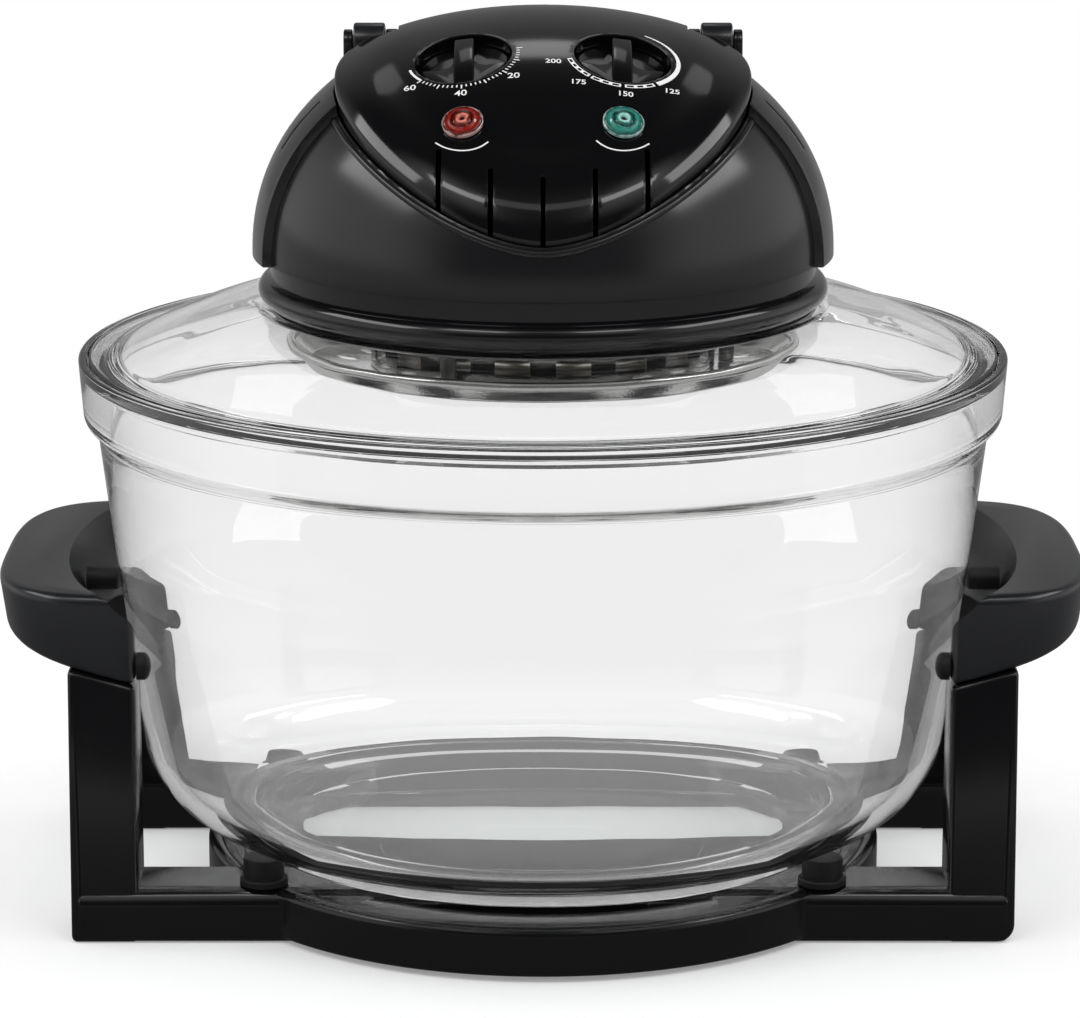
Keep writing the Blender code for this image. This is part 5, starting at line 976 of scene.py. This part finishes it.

# Two indicator lenses in coloured acrylic, moulded with rings.
# Their colour is painted in rings broken up by noise: dark rings are the acrylic's tint; bright rings and
# the pale outer edge are painted highlights.
red_tint_and_highlights = ("2c0403", "e08a7c", "66100b", "220202", "8c1f17", "3a0504", "a88a86")
green_tint_and_highlights = ("052824", "b2e0d6", "186a5e", "041f1c", "348679", "0a3d37", "94b0ab")
lens_radius = 0.0072
for hand, kind, colours, slot in (
    (-1, "power", red_tint_and_highlights, "red_lens"),
    (1, "heat", green_tint_and_highlights, "green_lens"),
):
    place = face_frame(hand, lamp_x, lamp_y)
    shine = {"IOR": 1.49, "Roughness": 0.05, "Coat Weight": 1.0}
    acrylic, tree, shader, spot = new_finish(f"{kind}_acrylic", shine)
    seat_of_lens = {"Location": place.translation, "Rotation": place.to_euler()}
    centred = add_node(tree, "Mapping", {"vector_type": "TEXTURE", **seat_of_lens, "Vector": spot})
    flat = add_node(tree, "VectorMath", {"operation": "MULTIPLY", 0: centred, 1: (1, 1, 0)})
    radius = add_node(tree, "VectorMath", {"operation": "LENGTH", 0: flat}, "Value")
    cloud = add_node(tree, "TexNoise", {"Scale": 1000 / 2.4, "Detail": 2.0, "Vector": spot})
    swirl = add_node(tree, "MapRange", {"To Min": -0.0011, "To Max": 0.0011, "Value": cloud})
    stirred = add_node(tree, "Math", {"operation": "ADD", 0: radius, 1: swirl})
    share = add_node(tree, "Math", {"operation": "DIVIDE", 0: stirred, 1: lens_radius})
    # The ramp paints the rings: dark tint, bright painted highlights, and a pale painted highlight at the
    # edge.
    rings = add_node(tree, "ValToRGB", {0: share}, "Color")
    stops = rings.node.color_ramp.elements
    for spacing, colour in zip((0.1, 0.22, 0.36, 0.5, 0.66, 0.9), colours):
        stop = stops.new(spacing)
        stop.color = linear(colour)
    stops[0].color = linear(colours[0])
    stops[-1].color = linear(colours[-1])
    feed(tree, shader, {"Base Color": rings})
    profile = [(0.0003, 0.0026), (0.0012, 0.0024), (0.0016, 0.0033), (0.0028, 0.0031), (0.0032, 0.0024)]
    profile += [(0.0044, 0.0027), (0.005, 0.002), (0.0061, 0.0019), (0.0064, 0.0014), (0.007, 0.0014)]
    profile += [(0.0072, 0.0012), (0.0072, 0.0003), (0.005, 0.0003), (0.005, -0.0077), (0.0003, -0.0077)]
    lens = place_piece(plug_poles(ring_by_ring(f"{kind}_lens", profile, 64)), place)
    dress(lens, "lid", slot, acrylic, f"{kind}_lamp")

# The print on the panel is a thin coat of white ink: ticks, bands and plain numbers.
# A soft pad lays it on the finished moulding, so it follows the curve and is a little uneven.
ink, tree, shader, spot = new_finish("white_pad_print_ink", {"Roughness": 0.45})
cloud = add_node(tree, "TexNoise", {"Scale": 1000 / 0.9, "Detail": 2.0, "Vector": spot})
whites = {"data_type": "RGBA", "Factor": cloud, 6: linear("d2d2d0"), 7: linear("f2f2f0")}
feed(tree, shader, {"Base Color": add_node(tree, "Mix", whites, 2)})
ink_height = 0.00008


def on_face(place, x, y):
    """A point of a flat layout, laid onto the curved face."""
    flat = panel_matrix.inverted() @ (place @ Vector((x, y, 0)))
    spot = panel_point(flat.x, flat.y - panel_middle)
    return spot + place.to_3x3() @ Vector((0, 0, ink_height))


def print_strip(shape, place, radius, start, end, width, end_width=None):
    """An arc of ink; its width may change along it."""
    steps = max(int(abs(end - start) / 3), 2)
    before = None
    for i in range(steps + 1):
        angle = radians(start + (end - start) * i / steps)
        wide = width + ((end_width or width) - width) * i / steps
        pair = []
        for r in (radius - wide / 2, radius + wide / 2):
            pair.append(shape.verts.new(on_face(place, r * cos(angle), r * sin(angle))))
        if before:
            shape.faces.new((before[0], before[1], pair[1], pair[0]))
        before = pair


def print_tick(shape, place, radius, angle, length, width):
    """A short line of ink that points at a dial's middle."""
    out = Vector((cos(radians(angle)), sin(radians(angle))))
    side = Vector((-out.y, out.x)) * width / 2
    far = out * (radius + length)
    corners = (out * radius - side, far - side, far + side, out * radius + side)
    shape.faces.new([shape.verts.new(on_face(place, corner.x, corner.y)) for corner in corners])


def print_number(shape, place, text, radius, angle, size):
    """A plain number as a mesh, laid onto the face."""
    bpy.ops.object.text_add()
    made = bpy.context.object
    made.data.body = text
    made.data.size = size
    made.data.align_x = "CENTER"
    made.data.align_y = "CENTER"
    made.data.offset = 0.00006
    bpy.ops.object.convert(target="MESH")
    made = bpy.context.object
    middle = Vector((cos(radians(angle)), sin(radians(angle)))) * radius
    corners = [on_face(place, v.co.x + middle.x, v.co.y + middle.y) for v in made.data.vertices]
    points = [shape.verts.new(corner) for corner in corners]
    for face in made.data.polygons:
        shape.faces.new([points[i] for i in face.vertices])
    bpy.data.objects.remove(made)


def print_piece(name, shape):
    """Ink on the panel, its faces turned outwards."""
    bmesh.ops.recalc_face_normals(shape, faces=shape.faces)
    for face in shape.faces:
        if face.normal.z < 0:
            face.normal_flip()
    made = from_bmesh(name, shape)
    made.data.materials.append(ink)
    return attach(made, "lid")


place = face_frame(-1, dial_x, dial_y)
shape = bmesh.new()
print_strip(shape, place, 0.0192, -166, -140, 0.0009)
for minute in range(0, 61, 2):
    long = minute % 10 == 0
    print_tick(shape, place, 0.0189, -139 + (60 - minute) * 2.42, 0.0022 if long else 0.0013, 0.0005)
for text, angle, radius in (("60", -138.5, 0.0246), ("40", -91, 0.0238), ("20", -42, 0.0242)):
    print_number(shape, place, text, radius, angle, 0.0044)
print_piece("timer_print", shape)
place = face_frame(1, dial_x, dial_y)
shape = bmesh.new()
for start, end in ((-165, -128), (-125, -93), (-89, -57)):
    for radius in (0.0189, 0.0203):
        print_strip(shape, place, radius, start, end, 0.0004)
    count = round((end - start) / 10)
    for i in range(count + 1):
        angle = start + 1 + (end - start - 2) * i / count
        print_tick(shape, place, 0.0187, angle, 0.0018, 0.0007 if i in (0, count) else 0.0013)
print_strip(shape, place, 0.0196, -53, 66, 0.0021, 0.0006)
temperatures = (("200", -163, 0.0258), ("175", -129, 0.0254), ("150", -89, 0.0242), ("125", -48, 0.0252))
for text, angle, radius in temperatures:
    print_number(shape, place, text, radius, angle, 0.0038)
print_piece("thermostat_print", shape)
shape = bmesh.new()
for hand in (-1, 1):
    print_strip(shape, face_frame(hand, lamp_x, lamp_y), 0.0128, -137, -46, 0.0006)
print_piece("lamp_print", shape)

# The carry handle is a moulded strap with an eye at each end; it lies folded round the dome.
# It has the side handles' satin finish and turns on two steel pins.
path_half = (
    (0.06235, 0.0135, 0.3085),
    (0.06235, 0.0220, 0.3088),
    (0.06235, 0.0315, 0.3081),
    (0.0622, 0.0455, 0.3034),
    (0.0600, 0.0605, 0.2982),
    (0.0530, 0.0745, 0.2949),
    (0.0400, 0.0842, 0.2930),
    (0.0220, 0.0895, 0.2919),
    (0, 0.0910, 0.2916),
)
points = [Vector(p) for p in path_half] + [Vector((-x, y, z)) for x, y, z in reversed(path_half[:-1])]
path = []
for i in range(len(points) - 1):
    before = points[max(i - 1, 0)]
    after = points[min(i + 2, len(points) - 1)]
    for step in range(8):
        t = step / 8
        first, second = points[i], points[i + 1]
        bend = 2 * first + (second - before) * t
        bend += (2 * before - 5 * first + 4 * second - after) * t * t
        bend += (3 * first - before - 3 * second + after) * t * t * t
        path.append(bend / 2)
path.append(points[-1])
half_wide = 0.00565
half_thick = 0.00325
rounding = 0.0017
section = []
for centre_u, centre_v, start in ((1, 1, 0), (-1, 1, 90), (-1, -1, 180), (1, -1, 270)):
    for i in range(5):
        angle = radians(start + 22.5 * i)
        u = centre_u * (half_wide - rounding) + rounding * cos(angle)
        section.append((u, centre_v * (half_thick - rounding) + rounding * sin(angle)))
lean = (0, sin(radians(12)), cos(radians(12)))
strap = sweep("strap", path, section, lean)
eyes = [bevel_edges(across_rod(hand, 0.0068, 0.0567, 0.068), 0.0009, 3, 60) for hand in (-1, 1)]
join_to(strap, eyes)
join_to(strap, [across_rod(hand, 0.0028, 0.05, 0.075) for hand in (-1, 1)], "DIFFERENCE")
bevel_edges(strap, 0.0003, 2, 50)
dress(strap, "bail", "gloss_black", handle_satin, "carry_handle", angle=40)

# What stays hidden inside keeps its packed form, with the finish of the real piece.
# Shafts and plates are plain steel, the fans bright, the motor blued and the switches grey nylon.
steel = sheet_metal("cold_rolled_steel", ("8f8f8d", "a5a5a2"), 0.25, 0.45, 0.5)
black_steel = sheet_metal("blued_motor_laminations", ("3a3b3e", "4a4b4f"), 0.35, 0.55, 0.4)
casing = plastic("grey_glass_filled_nylon", ("4b4c50", "56575b"), 0.45, 2.0, 0.01)
steatite = plastic("white_steatite_ceramic", ("dcd9d0", "e8e5dc"), 0.5, 1.5, 0.01)
button_red = plastic("red_switch_button", ("8c1a14", "a0241c"), 0.4, 1.0, 0.005)
kept = (
    (steel, "base_plate motor_bracket fan_shaft timer_spindle thermostat_spindle pivot_pin_left"),
    (steel, "pivot_pin_right pan_spacer_1 pan_spacer_2 pan_spacer_3"),
    (black_steel, "fan_motor"),
    (nickel, "cooling_fan convection_fan"),
    (casing, "timer_unit thermostat_unit safety_switch"),
    (button_red, "switch_button"),
    (steatite, "lamp_cap_left lamp_cap_right"),
)
for finish, names in kept:
    for name in names.split():
        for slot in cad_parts[name].material_slots:
            slot.material = finish
